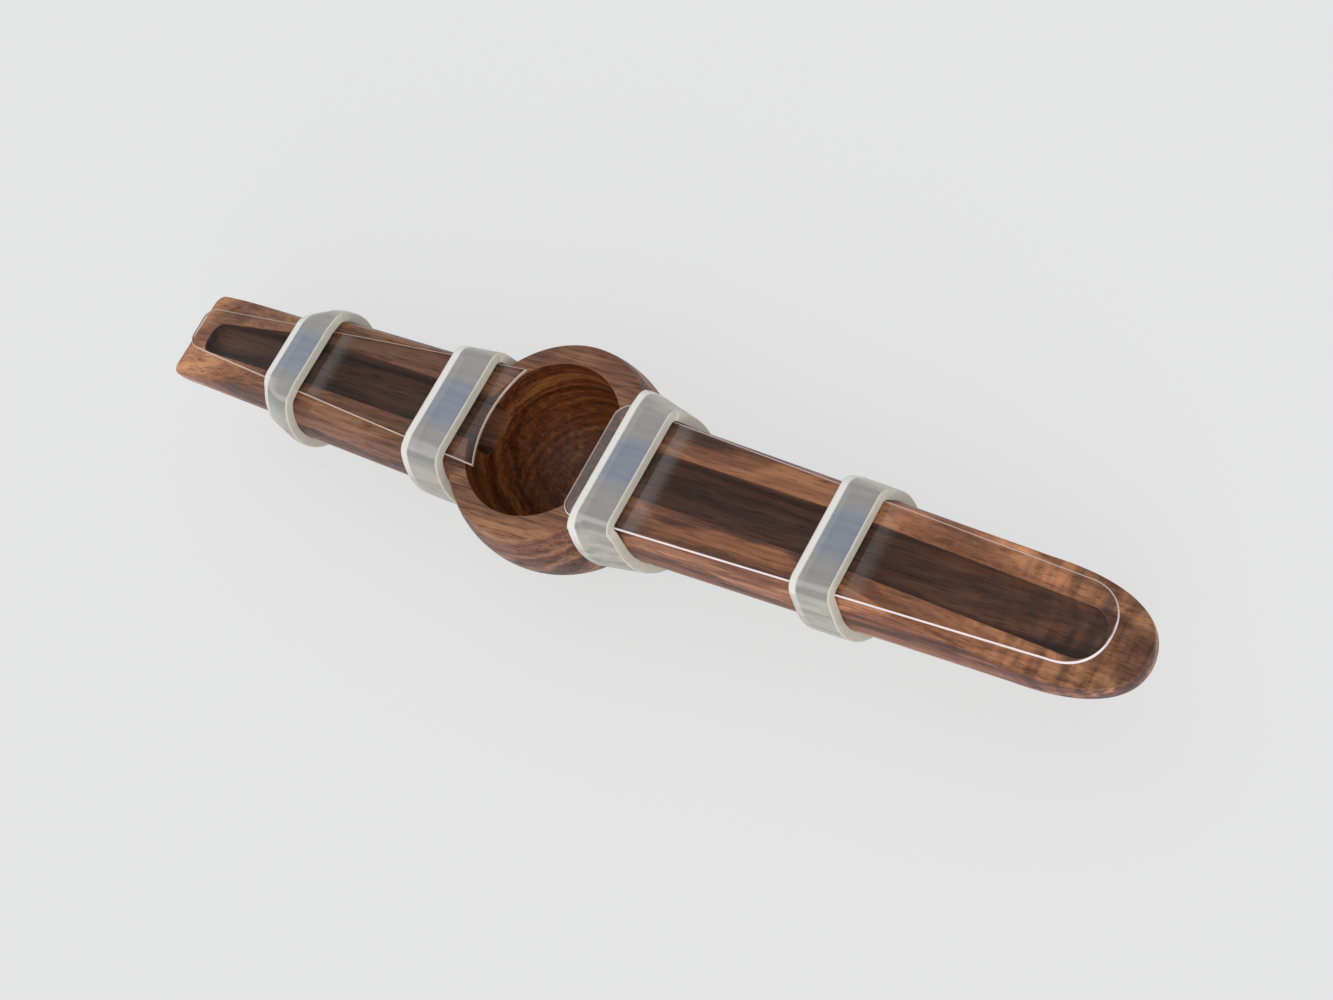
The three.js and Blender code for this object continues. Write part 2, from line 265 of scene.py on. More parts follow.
@dataclass
class Graph:
    """A shader or geometry tree, with short ways to add the nodes that repeat."""

    tree: NodeTree

    def add(self, kind: str, inputs: dict[Any, Any] | None = None, **settings: Any) -> Node:
        """Adds a node with its own settings, and sets or links its inputs.

        Args:
            kind: Blender's name for the node's type.
            inputs: A value or another node's output for each input, by the input's name or number.
            settings: The node's own options by name.

        Returns:
            The new node.
        """
        node = self.tree.nodes.new(kind)
        for name, value in settings.items():
            setattr(node, name, value)
        for key, value in (inputs or {}).items():
            if isinstance(value, NodeSocket):
                self.tree.links.new(value, node.inputs[key])
            else:
                node.inputs[key].default_value = value
        return node

    def place(self) -> NodeSocket:
        """Gives the place on the object, in metres."""
        return self.add("ShaderNodeTexCoord").outputs["Object"]

    def parts(self, vector: NodeSocket) -> Any:
        """Splits a vector into its X, Y and Z."""
        return self.add("ShaderNodeSeparateXYZ", {0: vector}).outputs

    def math(self, operation: str, *values: Any, clamp: bool = False) -> NodeSocket:
        """Gives the result of a sum on values."""
        inputs = dict(enumerate(values))
        return self.add("ShaderNodeMath", inputs, operation=operation, use_clamp=clamp).outputs[0]

    def vector(self, operation: str, *values: Any) -> NodeSocket:
        """Gives the vector that a sum on vectors results in."""
        return self.add("ShaderNodeVectorMath", dict(enumerate(values)), operation=operation).outputs[0]

    def measure(self, operation: str, *values: Any) -> NodeSocket:
        """Gives the value that a sum on vectors results in."""
        return self.add("ShaderNodeVectorMath", dict(enumerate(values)), operation=operation).outputs["Value"]

    def scaled(self, vector: NodeSocket, factor: Any) -> NodeSocket:
        """Gives a vector or colour times a factor."""
        return self.add("ShaderNodeVectorMath", {0: vector, "Scale": factor}, operation="SCALE").outputs[0]

    def cells(self, place: NodeSocket, *size: float) -> NodeSocket:
        """Stretches a place, so that the cells of a noise get a length, a width and a height."""
        return self.vector("MULTIPLY", place, tuple(1 / part for part in size))

    def noise(self, place: NodeSocket, detail: float, roughness: float, scale: float = 1.0) -> NodeSocket:
        """Gives a noise in space."""
        inputs = {"Vector": place, "Scale": scale, "Detail": detail, "Roughness": roughness}
        return self.add("ShaderNodeTexNoise", inputs).outputs[0]

    def noise_along(self, distance: NodeSocket, detail: float, roughness: float) -> NodeSocket:
        """Gives a noise along one measure."""
        inputs = {"W": distance, "Scale": 1.0, "Detail": detail, "Roughness": roughness}
        return self.add("ShaderNodeTexNoise", inputs, noise_dimensions="1D").outputs[0]

    def ranged(self, value: NodeSocket, source: Pair, target: Pair, curve: str = "LINEAR") -> NodeSocket:
        """Moves a value from a source range to a target range, and keeps it inside that."""
        inputs = dict(zip(("Value", "From Min", "From Max", "To Min", "To Max"), (value, *source, *target)))
        return self.add("ShaderNodeMapRange", inputs, interpolation_type=curve).outputs[0]

    def eased(self, value: NodeSocket, source: Pair, target: Pair = (0.0, 1.0)) -> NodeSocket:
        """Moves a value from one range to another, with soft ends."""
        return self.ranged(value, source, target, "SMOOTHSTEP")

    # A mix node has sockets for every type of data: 2 and 3 take values, 6 and 7 take colours

    def mix(self, share: Any, first: Any, second: Any) -> NodeSocket:
        """Mixes two colours."""
        return self.add("ShaderNodeMix", {0: share, 6: first, 7: second}, data_type="RGBA").outputs[2]

    def mix_values(self, share: Any, first: Any, second: Any) -> NodeSocket:
        """Mixes two values."""
        return self.add("ShaderNodeMix", {0: share, 2: first, 3: second}, data_type="FLOAT").outputs[0]

    def ramp(self, share: NodeSocket, stops: Sequence[tuple[float, Colour]]) -> NodeSocket:
        """Gives the colour at a share of a ramp.

        Args:
            share: The place on the ramp.
            stops: The ramp's stops as (place, colour), from first to last.

        Returns:
            The colour.
        """
        node = self.add("ShaderNodeValToRGB", {"Fac": share})
        elements = node.color_ramp.elements
        elements[0].position, elements[0].color = stops[0]
        elements[1].position, elements[1].color = stops[-1]
        for position, colour in stops[1:-1]:
            elements.new(position).color = colour
        return node.outputs["Color"]

    def dressed(self, geometry: NodeSocket, finish: NodeSocket, selection: Any = True) -> NodeSocket:
        """Gives faces of a geometry a finish."""
        inputs = {"Geometry": geometry, "Selection": selection, "Material": finish}
        return self.add("GeometryNodeSetMaterial", inputs).outputs[0]

    def surface(self, shader: Node) -> None:
        """Ends a material in its shader."""
        self.add("ShaderNodeOutputMaterial", {"Surface": shader.outputs[0]})

    def skin(self, colour: Any, roughness: Any, index: float, **more: Any) -> None:
        """Ends a material in a solid skin, with further inputs by name, underscores standing for spaces."""
        inputs = {"Base Color": colour, "Roughness": roughness, "IOR": index}
        inputs.update({name.replace("_", " "): value for name, value in more.items()})
        self.surface(self.add("ShaderNodeBsdfPrincipled", inputs))

    def bump(self, strength: float, height: float, **inputs: Any) -> NodeSocket:
        """Gives the normal of a relief whose height is in millimetres."""
        return self.add("ShaderNodeBump", {"Strength": strength, "Distance": height * MM, **inputs}).outputs[0]


def new_material(name: str) -> tuple[Material, Graph]:
    """Makes a material with an empty node tree.

    Args:
        name: The material's name.

    Returns:
        The material and its tree.
    """
    material = bpy.data.materials.new(name)
    material.use_nodes = True
    material.node_tree.nodes.clear()
    return material, Graph(material.node_tree)


@dataclass
class Rule:
    """A geometry node tree with named inputs that turns one mesh into another."""

    graph: Graph
    sockets: dict[str, str]

    @classmethod
    def start(cls, name: str, inputs: dict[str, str]) -> "Rule":
        """Makes an empty rule with a geometry input, a geometry output and named inputs.

        Args:
            name: The tree's name.
            inputs: The type of each further input, by its name.

        Returns:
            The rule.
        """
        tree = bpy.data.node_groups.new(name, "GeometryNodeTree")
        for way in ("INPUT", "OUTPUT"):
            tree.interface.new_socket("Geometry", in_out=way, socket_type="NodeSocketGeometry")
        sockets = {
            label: tree.interface.new_socket(label, in_out="INPUT", socket_type=kind).identifier
            for label, kind in inputs.items()
        }
        return cls(Graph(tree), sockets)

    def apply(self, thing: Object, values: dict[str, Any]) -> Mesh:
        """Runs the rule on an object and gives the plain mesh that comes out.

        Args:
            thing: The object that holds the rule's starting mesh.
            values: A value for each named input.

        Returns:
            The resulting mesh.
        """
        modifier = thing.modifiers.new(self.graph.tree.name, "NODES")
        modifier.node_group = self.graph.tree
        for label, value in values.items():
            modifier[self.sockets[label]] = value
        return evaluated(thing)


def turning_rule() -> Rule:
    """Builds the rule for a lathe: it turns a profile about the X axis.

    Returns:
        A rule whose starting mesh is the profile, a row of points at (distance, 0, radius).
    """
    rule = Rule.start("Lathe turning", {"Facets": "NodeSocketInt", "Material": "NodeSocketMaterial"})
    graph = rule.graph
    given = graph.add("NodeGroupInput").outputs
    counted = graph.add("GeometryNodeAttributeDomainSize", {"Geometry": given["Geometry"]}, component="MESH")
    rows = counted.outputs["Point Count"]
    columns = graph.math("ADD", given["Facets"], 1.0)
    grid_size = {"Size X": 1.0, "Size Y": 1.0, "Vertices X": rows, "Vertices Y": columns}
    grid = graph.add("GeometryNodeMeshGrid", grid_size).outputs["Mesh"]
    place = graph.add("GeometryNodeInputPosition").outputs[0]
    # The grid lies from -0.5 to 0.5: its X picks the profile's point, and its Y gives the angle
    split = graph.parts(place)
    along = graph.math("MULTIPLY", graph.math("ADD", split["X"], 0.5), graph.math("SUBTRACT", rows, 1.0))
    number = graph.math("ROUND", along)
    angle = graph.math("MULTIPLY", graph.math("ADD", split["Y"], 0.5), 2 * math.pi)
    sample = {"Geometry": given["Geometry"], "Index": number, "Value": place}
    profile = graph.add("GeometryNodeSampleIndex", sample, data_type="FLOAT_VECTOR", domain="POINT")
    point = graph.parts(profile.outputs[0])
    side = graph.math("MULTIPLY", point["Z"], graph.math("COSINE", angle))
    height = graph.math("MULTIPLY", point["Z"], graph.math("SINE", angle))
    turned = graph.add("ShaderNodeCombineXYZ", {0: point["X"], 1: side, 2: height}).outputs[0]
    moved = graph.add("GeometryNodeSetPosition", {"Geometry": grid, "Position": turned}).outputs[0]
    join = {"Geometry": moved, "Distance": TURNED_JOIN_WITHIN}
    closed = graph.add("GeometryNodeMergeByDistance", join).outputs[0]
    plain = graph.add("GeometryNodeRealizeInstances", {"Geometry": closed}).outputs[0]
    graph.add("NodeGroupOutput", {"Geometry": graph.dressed(plain, given["Material"])})
    return rule


def wall_rule() -> Rule:
    """Builds the rule for a cut sheet or tube slice: it gives an open surface its wall.

    Returns:
        A rule whose starting mesh is the inner surface, with the wall's direction in its attribute "outwards".
        The outer surface's points get 1 in the attribute "raised".
    """
    finishes = {"Face finish": "NodeSocketMaterial", "Cut finish": "NodeSocketMaterial"}
    rule = Rule.start("Cut wall", {"Wall": "NodeSocketFloat", **finishes})
    graph = rule.graph
    given = graph.add("NodeGroupInput").outputs
    outwards = graph.add("GeometryNodeInputNamedAttribute", {"Name": "outwards"}, data_type="FLOAT_VECTOR")
    offset = {"Offset": outwards.outputs["Attribute"], "Offset Scale": given["Wall"], "Individual": False}
    raised = graph.add("GeometryNodeExtrudeMesh", {"Mesh": given["Geometry"], **offset}, mode="FACES").outputs
    cut = graph.dressed(raised["Mesh"], given["Cut finish"], raised["Side"])
    outer = graph.dressed(cut, given["Face finish"], raised["Top"])
    mark = {"Geometry": outer, "Selection": raised["Top"], "Name": "raised", "Value": 1.0}
    marked = graph.add("GeometryNodeStoreNamedAttribute", mark, data_type="FLOAT", domain="POINT").outputs[0]
    turned = graph.add("GeometryNodeFlipFaces", {"Mesh": given["Geometry"]}).outputs[0]
    inner = graph.dressed(turned, given["Face finish"])
    both = graph.add("GeometryNodeJoinGeometry")
    for half in (marked, inner):
        graph.tree.links.new(half, both.inputs[0])
    join = {"Geometry": both.outputs[0], "Distance": JOIN_WITHIN}
    closed = graph.add("GeometryNodeMergeByDistance", join).outputs[0]
    plain = graph.add("GeometryNodeRealizeInstances", {"Geometry": closed}).outputs[0]
    graph.add("NodeGroupOutput", {"Geometry": plain})
    return rule


# Finishes


class ToolMark(Enum):
    """The tool that left a wooden surface, with the direction across which its marks repeat."""

    LATHE = (1.0, 0.0, 0.0)
    PLANE = (0.25, 1.0, 0.0)
    SANDER = (0.9, 0.45, 0.0)
    BORER = (0.0, 0.0, 1.0)
    ROUTER = (1.0, 0.0, 0.35)


@dataclass(frozen=True)
class OiledHardwood:
    """Dark red-brown hardwood under thin oil. The grain runs along the call, through the whole solid,
    so that it makes streaks on the arms, closed curves on the ball and short strokes on the end grain."""

    name: str
    deep: str
    middle: str
    bright: str
    pore: str
    roughness: float
    tool: ToolMark
    mark_spacing: float
    mark_depth: float
    mark_rise: Pair = (0.3, 0.7)
    # How the plank was sawn from the tree
    grain_tilt: Triple = (0.0, 1.2, -1.8)
    grain_shift: Triple = (31.0, 0.0, 0.0)
    pith: Triple = (0.0, 13.0, -9.0)
    drift_cells: Triple = (34.0, 8.0, 8.0)
    drift_reach: float = 6.5
    # Rings, fibres and pores
    ring_spacing: float = 2.1
    fibre_cells: Triple = (17.0, 0.6, 0.6)
    fibre_share: float = 0.45
    tone_places: Triple = (0.36, 0.5, 0.64)
    pore_cells: Triple = (3.4, 0.26, 0.26)
    pore_rise: Pair = (0.55, 0.7)
    pore_cover: float = 0.5
    pore_roughness: float = 0.2
    # Cross strokes towards the nose
    figure_rise: Pair = (46.0, 66.0)
    figure_least: float = 0.1
    stroke_cells: Triple = (1.5, 6.0, 4.0)
    stroke_rise: Pair = (0.36, 0.64)
    stroke_tones: Pair = (0.42, 1.1)
    # Tone by distance along the call: partly the plank's own paler and darker wood, partly painted light, raised
    # where the arms' lit round sides shine
    tone_and_painted_light_along: tuple[Pair, ...] = (
        (-73.0, 1.4),
        (-60.0, 1.15),
        (-44.0, 0.74),
        (-14.0, 0.76),
        (0.0, 0.86),
        (20.0, 1.1),
        (40.0, 1.38),
        (61.0, 1.3),
        (67.0, 0.9),
    )
    nose: float = 73.0
    nose_tone: float = 0.5
    # A darker streak in the far side of the short arm
    far_streak_across: float = 5.0
    far_streak_half: Pair = (0.8, 2.6)
    far_streak_fade: float = 14.0
    far_streak_end: float = -14.0
    far_streak_depth: float = 0.35
    # Eased edges, relief and sheen
    edge_round: float = 0.4
    edge_turn: Pair = (0.99, 0.8)
    edge_wear: float = 0.35
    relief: float = 0.35
    edge_samples: int = 6
    relief_height: float = 0.05
    mark_relief: float = 6.0
    sheen: float = 0.3
    index: float = 1.5

    def grain(self, graph: Graph, here: NodeSocket) -> tuple[NodeSocket, NodeSocket, NodeSocket]:
        """Grows the wood: rings, fibres and pores.

        Args:
            graph: The material's tree.
            here: The place in millimetres.

        Returns:
            The colour, the fibres and the pores.
        """
        # The plank was cut a degree or two off the grain
        tilt = tuple(math.radians(angle) for angle in self.grain_tilt)
        sawn = {"Vector": here, "Rotation": tilt, "Location": self.grain_shift}
        grain = graph.add("ShaderNodeMapping", sawn).outputs[0]
        drift = graph.noise(graph.cells(grain, *self.drift_cells), 3.0, 0.55)
        # Growth rings lie round a pith that is well outside the plank
        across = graph.vector("MULTIPLY", grain, (0.0, 1.0, 1.0))
        from_pith = graph.measure("DISTANCE", across, self.pith)
        pushed = graph.math("MULTIPLY_ADD", drift, self.drift_reach, from_pith)
        rings = graph.noise_along(graph.math("DIVIDE", pushed, self.ring_spacing), 3.0, 0.62)
        fibres = graph.noise(graph.cells(grain, *self.fibre_cells), 4.0, 0.6)
        colours = (linear(self.deep), linear(self.middle), linear(self.bright))
        figure = graph.mix_values(self.fibre_share, rings, fibres)
        wood = graph.ramp(figure, list(zip(self.tone_places, colours)))
        pore_noise = graph.noise(graph.cells(grain, *self.pore_cells), 1.0, 0.5)
        pores = graph.eased(pore_noise, self.pore_rise, (0.0, self.pore_cover))
        return graph.mix(pores, wood, linear(self.pore)), fibres, pores

    def darkening(self, graph: Graph, here: NodeSocket, split: Any) -> NodeSocket:
        """Darkens the wood in strokes towards the nose and in a streak in the short arm.

        Args:
            graph: The material's tree.
            here: The place in millimetres.
            split: Its X, Y and Z.

        Returns:
            The factor on the colour.
        """
        # Towards the nose the grain turns across: short cross strokes
        near_nose = graph.eased(split["X"], self.figure_rise, (self.figure_least, 1.0))
        strokes = graph.noise(graph.cells(here, *self.stroke_cells), 2.0, 0.6)
        figure = graph.mix_values(near_nose, 1.0, graph.ranged(strokes, self.stroke_rise, self.stroke_tones))
        # The wood is darker in a streak in the far side of the short arm
        off_streak = graph.math("ABSOLUTE", graph.math("SUBTRACT", split["Y"], self.far_streak_across))
        in_streak = graph.eased(off_streak, self.far_streak_half, (1.0, 0.0))
        fade = (self.far_streak_end - self.far_streak_fade, self.far_streak_end)
        streak = graph.math("MULTIPLY", in_streak, graph.eased(split["X"], fade, (self.far_streak_depth, 0.0)))
        return graph.math("MULTIPLY", graph.math("SUBTRACT", 1.0, streak), figure)

    def tone(self, graph: Graph, along: NodeSocket) -> NodeSocket:
        """Gives the tone of the plank: paler wood at the tip, then dark wood, then paler wood again, partly
        painted light.

        Args:
            graph: The material's tree.
            along: The distance along the call in millimetres.

        Returns:
            The factor on each part of the colour.
        """
        first = self.tone_and_painted_light_along[0][0]
        strongest = max(level for _, level in self.tone_and_painted_light_along)
        reach = self.nose - first
        steps = [((x - first) / reach, grey(level / strongest)) for x, level in self.tone_and_painted_light_along]
        share = graph.ranged(along, (first, self.nose), (0.0, 1.0))
        return graph.scaled(graph.ramp(share, [*steps, (1.0, grey(self.nose_tone / strongest))]), strongest)

    def material(self) -> Material:
        """Builds the material.

        Returns:
            The material, with grain, pores, tool marks and eased edges.
        """
        material, graph = new_material(self.name)
        here = graph.scaled(graph.place(), 1 / MM)
        split = graph.parts(here)
        wood, fibres, pores = self.grain(graph, here)
        # Marks of the tool: faint lines, a little darker and lower
        across_marks = graph.measure("DOT_PRODUCT", here, self.tool.value)
        marks = graph.noise_along(graph.math("DIVIDE", across_marks, self.mark_spacing), 1.0, 0.5)
        mark_shade = graph.ranged(marks, self.mark_rise, (1 - self.mark_depth, 1.0 + self.mark_depth))
        # The tone along the call carries painted light as well as the plank's own tone
        plank = graph.vector("MULTIPLY", graph.scaled(wood, mark_shade), self.tone(graph, split["X"]))
        figured = graph.scaled(plank, self.darkening(graph, here, split))
        # Handling and sanding ease the edges and leave them lighter
        rounding = {"Radius": self.edge_round * MM}
        eased = graph.add("ShaderNodeBevel", rounding, samples=self.edge_samples).outputs[0]
        plain = graph.add("ShaderNodeNewGeometry").outputs["Normal"]
        worn = graph.eased(graph.measure("DOT_PRODUCT", eased, plain), self.edge_turn, (0.0, self.edge_wear))
        colour = graph.mix(worn, figured, linear(self.bright))
        roughest = self.roughness + self.pore_roughness
        rough = graph.ranged(pores, (0.0, self.pore_cover), (self.roughness, roughest))
        lowered = graph.math("SUBTRACT", fibres, pores)
        relief = graph.math("MULTIPLY_ADD", marks, self.mark_depth * self.mark_relief, lowered)
        bump = graph.bump(self.relief, self.relief_height, Height=relief, Normal=eased)
        graph.skin(colour, rough, self.index, Specular_IOR_Level=self.sheen, Normal=bump)
        return material


WOOD_FINISHES = (
    OiledHardwood(
        "Oiled hardwood, turned",
        *("#40231A", "#7B4B36", "#B17C5A", "#2E180F"),
        *(0.4, ToolMark.LATHE, 0.45, 0.05),
        nose_tone=1.1,
        sheen=0.45,
    ),
    OiledHardwood(
        "Oiled hardwood, planed flat",
        *("#42261A", "#85573D", "#B4805A", "#2E180F"),
        *(0.5, ToolMark.PLANE, 0.5, 0.03),
    ),
    OiledHardwood(
        "Hardwood, sanded facing",
        *("#6A432D", "#99684A", "#BB845B", "#55331F"),
        *(0.55, ToolMark.SANDER, 0.3, 0.04),
    ),
    OiledHardwood(
        "Oiled hardwood, bored bowl",
        *("#512711", "#7C4422", "#9B6234", "#4A2410"),
        *(0.5, ToolMark.BORER, 0.5, 0.25),
    ),
    OiledHardwood(
        "Oiled hardwood, routed channel",
        *("#341B0F", "#5E3822", "#7C5136", "#2A150C"),
        *(0.6, ToolMark.ROUTER, 1.4, 0.03),
        tone_and_painted_light_along=((-73.0, 0.7), (-44.0, 0.85), (-14.0, 0.9), (20.0, 1.05), (40.0, 1.3), (67.0, 1.1)),
        far_streak_depth=0.0,
    ),
)


@dataclass(frozen=True)
class ClearFilm:
    """Clear polyester film: almost unseen face on, with a mirror-like skin that grows towards grazing. It is
    faintly cloudy at random, and has painted reflections of the bands as paler strips beside them (middle, half
    width, strength)."""

    name: str
    tint: str = "#F3EFEC"
    reflection: str = "#FFFFFF"
    haze_and_reflection: float = 0.01
    haze_rise: Pair = (0.4, 0.8)
    index: float = 1.6
    gloss: float = 0.2
    roughness: Pair = (0.05, 0.14)
    roughness_rise: Pair = (0.3, 0.8)
    scratch_cells: Triple = (22.0, 0.3, 0.3)
    reflection_full_share: float = 0.2
    # Painted reflections of the bands: paler strips beside each band
    band_reflection_strips: tuple[Triple, ...] = (
        (-37.2, 2.6, 0.04),
        (-10.6, 2.6, 0.03),
        (8.2, 2.4, 0.06),
        (17.0, 2.6, 0.05),
        (47.2, 2.4, 0.03),
    )

    def material(self) -> Material:
        """Builds the material.

        Returns:
            The material: see-through, with a gloss that the shader's Fresnel gives.
        """
        material, graph = new_material(self.name)
        place = graph.place()
        rubs = graph.noise(graph.cells(place, *(size * MM for size in self.scratch_cells)), 2.0, 0.6)
        haze_and_reflection = graph.ranged(rubs, self.haze_rise, (0.0, self.haze_and_reflection))
        along = graph.parts(place)["X"]
        # Painted reflections of the bands, added as paler strips beside each band
        for middle, half, strength in self.band_reflection_strips:
            away = graph.math("ABSOLUTE", graph.math("SUBTRACT", along, (middle + BALL_MIDDLE[0]) * MM))
            strip = graph.eased(away, (half * self.reflection_full_share * MM, half * MM), (strength, 0.0))
            haze_and_reflection = graph.math("ADD", haze_and_reflection, strip)
        fresnel = graph.add("ShaderNodeFresnel", {"IOR": self.index}).outputs[0]
        mirror = graph.math("MULTIPLY", fresnel, self.gloss)
        skin = graph.math("ADD", mirror, haze_and_reflection, clamp=True)
        # Only the outer skins mirror: a straight ray inside the sheet would meet a false total reflection
        inside = graph.add("ShaderNodeNewGeometry").outputs["Backfacing"]
        share = graph.mix_values(inside, skin, 0.0)
        rough = graph.ranged(rubs, self.roughness_rise, self.roughness)
        clear = graph.add("ShaderNodeBsdfTransparent", {"Color": linear(self.tint)}).outputs[0]
        shine = {"Color": linear(self.reflection), "Roughness": rough}
        gloss = graph.add("ShaderNodeBsdfAnisotropic", shine).outputs[0]
        graph.surface(graph.add("ShaderNodeMixShader", {0: share, 1: clear, 2: gloss}))
        return material


@dataclass(frozen=True)
class CutFilmEdge:
    """The sheared edge of clear film: it gathers the light of the whole sheet and shows as a pale line, bright
    where it faces the window and dull where it faces away."""

    name: str
    body: str = "#FBF0F2"
    shadow: str = "#E2D2D6"
    away: str = "#B09C92"
    away_rise: Pair = (-0.1, 0.6)
    snip: float = 1.4
    roughness: float = 0.3
    index: float = 1.6

    def material(self) -> Material:
        """Builds the material.

        Returns:
            The material: a pale line, uneven as scissors leave it.
        """
        material, graph = new_material(self.name)
        snips = graph.noise(graph.place(), 2.0, 0.6, 1 / (self.snip * MM))
        colour = graph.mix(snips, linear(self.shadow), linear(self.body))
        # Painted shade: the edge turns duller where it faces away from the window lamp
        way = graph.add("ShaderNodeNewGeometry").outputs["True Normal"]
        turned_away = graph.eased(graph.parts(way)["Y"], self.away_rise)
        shown = graph.mix(turned_away, colour, linear(self.away))
        graph.skin(shown, self.roughness, self.index)
        return material


@dataclass(frozen=True)
class MilkyTube:
    """Soft clear tube, milky where it is stretched: cool grey where it lies flat over the reed, with painted
    shade in blue-grey over the channel, a pale line as a painted highlight where it bends over the reed's edge on
    the near side, painted shade below that, and whitish with long streaks round the arm. A painted glow lies
    along its rim on the -X side."""

    name: str
    flat_part: str = "#A8A6A5"
    # Painted shade: blue-grey where the dark channel lies below the tube
    over_channel_painted_shade: str = "#8996AC"
    # Painted highlight: a pale line where the tube bends over the reed's edge, and painted shade below it
    bend: str = "#D2D0CB"
    painted_shade_below_bend: str = "#9C9E9C"
    milk: str = "#C8C4BB"
    cloud: str = "#9F9D97"
    # Colour of the painted glow near the rim on the -X side
    painted_glow: str = "#EBE8E2"
    streak_cells: Triple = (7.0, 0.8, 0.8)
    cloud_rise: Pair = (0.36, 0.64)
    # The wall's direction outwards: Z tells above from below, and Y places the stops across the top, with painted
    # shade and a painted highlight on the near side (-Y) only
    above_rise: Pair = (0.1, 0.5)
    milk_places: Pair = (0.04, 0.8)
    painted_shade_places: Pair = (0.1, 0.2)
    painted_highlight_places: Pair = (0.27, 0.34)
    flat_places: Pair = (0.42, 0.62)
    channel_fall: Pair = (1.9, 4.1)
    channel_cover: float = 0.9
    top_milk: float = 0.2
    # A painted glow lies along the rim on the -X side, where the attribute "towards_cut" nears 1
    glow_rise: Pair = (0.56, 0.68)
    glow_below: float = 0.3
    glow_opacity: float = 0.9
    facing_blend: float = 0.35
    facing_rise: Pair = (0.0, 0.8)
    opacity: Pair = (0.52, 0.92)
    roughness: Pair = (0.12, 0.26)
    roughness_rise: Pair = (0.3, 0.7)
    relief: float = 0.3
    relief_height: float = 0.12
    index: float = 1.45

    def top(self, graph: Graph, here: NodeSocket, across_way: NodeSocket) -> NodeSocket:
        """Colours the part of the band that lies over the reed, with painted shade and a painted highlight on its
        near side.

        Args:
            graph: The material's tree.
            here: The place in millimetres.
            across_way: How far the wall faces across the call, from -1 to 1.

        Returns:
            The colour.
        """
        round_share = graph.ranged(across_way, (-1.0, 1.0), (0.0, 1.0))
        first_milk, last_milk = ((place, linear(self.milk)) for place in self.milk_places)
        between = [
            (place, linear(code))
            for places, code in (
                (self.painted_shade_places, self.painted_shade_below_bend),
                (self.painted_highlight_places, self.bend),
                (self.flat_places, self.flat_part),
            )
            for place in places
        ]
        over = graph.ramp(round_share, [first_milk, *between, last_milk])
        # Over the channel nothing lies behind the tube, so painted shade makes it bluer there
        off_middle = graph.math("ABSOLUTE", graph.parts(here)["Y"])
        channel_shade_share = graph.eased(off_middle, self.channel_fall, (self.channel_cover, 0.0))
        return graph.mix(channel_shade_share, over, linear(self.over_channel_painted_shade))

    def material(self) -> Material:
        """Builds the material.

        Returns:
            The material: cloudy, partly see-through and glossy, with a painted glow along its rim on the -X side.
        """
        material, graph = new_material(self.name)
        here = graph.scaled(graph.place(), 1 / MM)
        # Drawing the tube out of its die leaves streaks along it
        clouds = graph.noise(graph.cells(here, *self.streak_cells), 3.0, 0.55)
        cloudy = graph.ranged(clouds, self.cloud_rise, (0.0, 1.0))
        milk = graph.mix(cloudy, linear(self.milk), linear(self.cloud))
        # The way that the wall faces tells the flat part, the bend and the round part apart, and places the
        # painted highlight and shade
        way = graph.parts(graph.add("ShaderNodeAttribute", attribute_name="outwards").outputs["Vector"])
        above = graph.eased(way["Z"], self.above_rise)
        top = graph.mix(self.top_milk, self.top(graph, here, way["Y"]), milk)
        wall_tone = graph.mix(above, milk, top)
        towards_cut = graph.add("ShaderNodeAttribute", attribute_name="towards_cut").outputs["Fac"]
        glow_above = graph.math("MULTIPLY_ADD", above, 1.0 - self.glow_below, self.glow_below)
        # Painted glow: brighter and more solid near the rim on the -X side
        bright = graph.math("MULTIPLY", graph.eased(towards_cut, self.glow_rise), glow_above)
        colour = graph.mix(bright, wall_tone, linear(self.painted_glow))
        facing = graph.add("ShaderNodeLayerWeight", {"Blend": self.facing_blend}).outputs["Facing"]
        turned = graph.ranged(facing, self.facing_rise, self.opacity)
        solid = graph.mix_values(bright, turned, self.glow_opacity)
        rough = graph.ranged(clouds, self.roughness_rise, self.roughness)
        bump = graph.bump(self.relief, self.relief_height, Height=clouds)
        graph.skin(colour, rough, self.index, Alpha=solid, Normal=bump)
        return material


@dataclass(frozen=True)
class CutTubeEnd:
    """The knife-cut end of the soft tube: bright cream, since light from the whole wall leaves there."""

    name: str
    body: str = "#D8D4C7"
    shade: str = "#BEB9AB"
    knife_line: float = 0.9
    roughness: float = 0.35
    index: float = 1.45

    def material(self) -> Material:
        """Builds the material.

        Returns:
            The material: cream, with faint knife lines.
        """
        material, graph = new_material(self.name)
        lines = graph.noise(graph.place(), 3.0, 0.6, 1 / (self.knife_line * MM))
        colour = graph.mix(lines, linear(self.body), linear(self.shade))
        graph.skin(colour, self.roughness, self.index)
        return material


# The wooden body


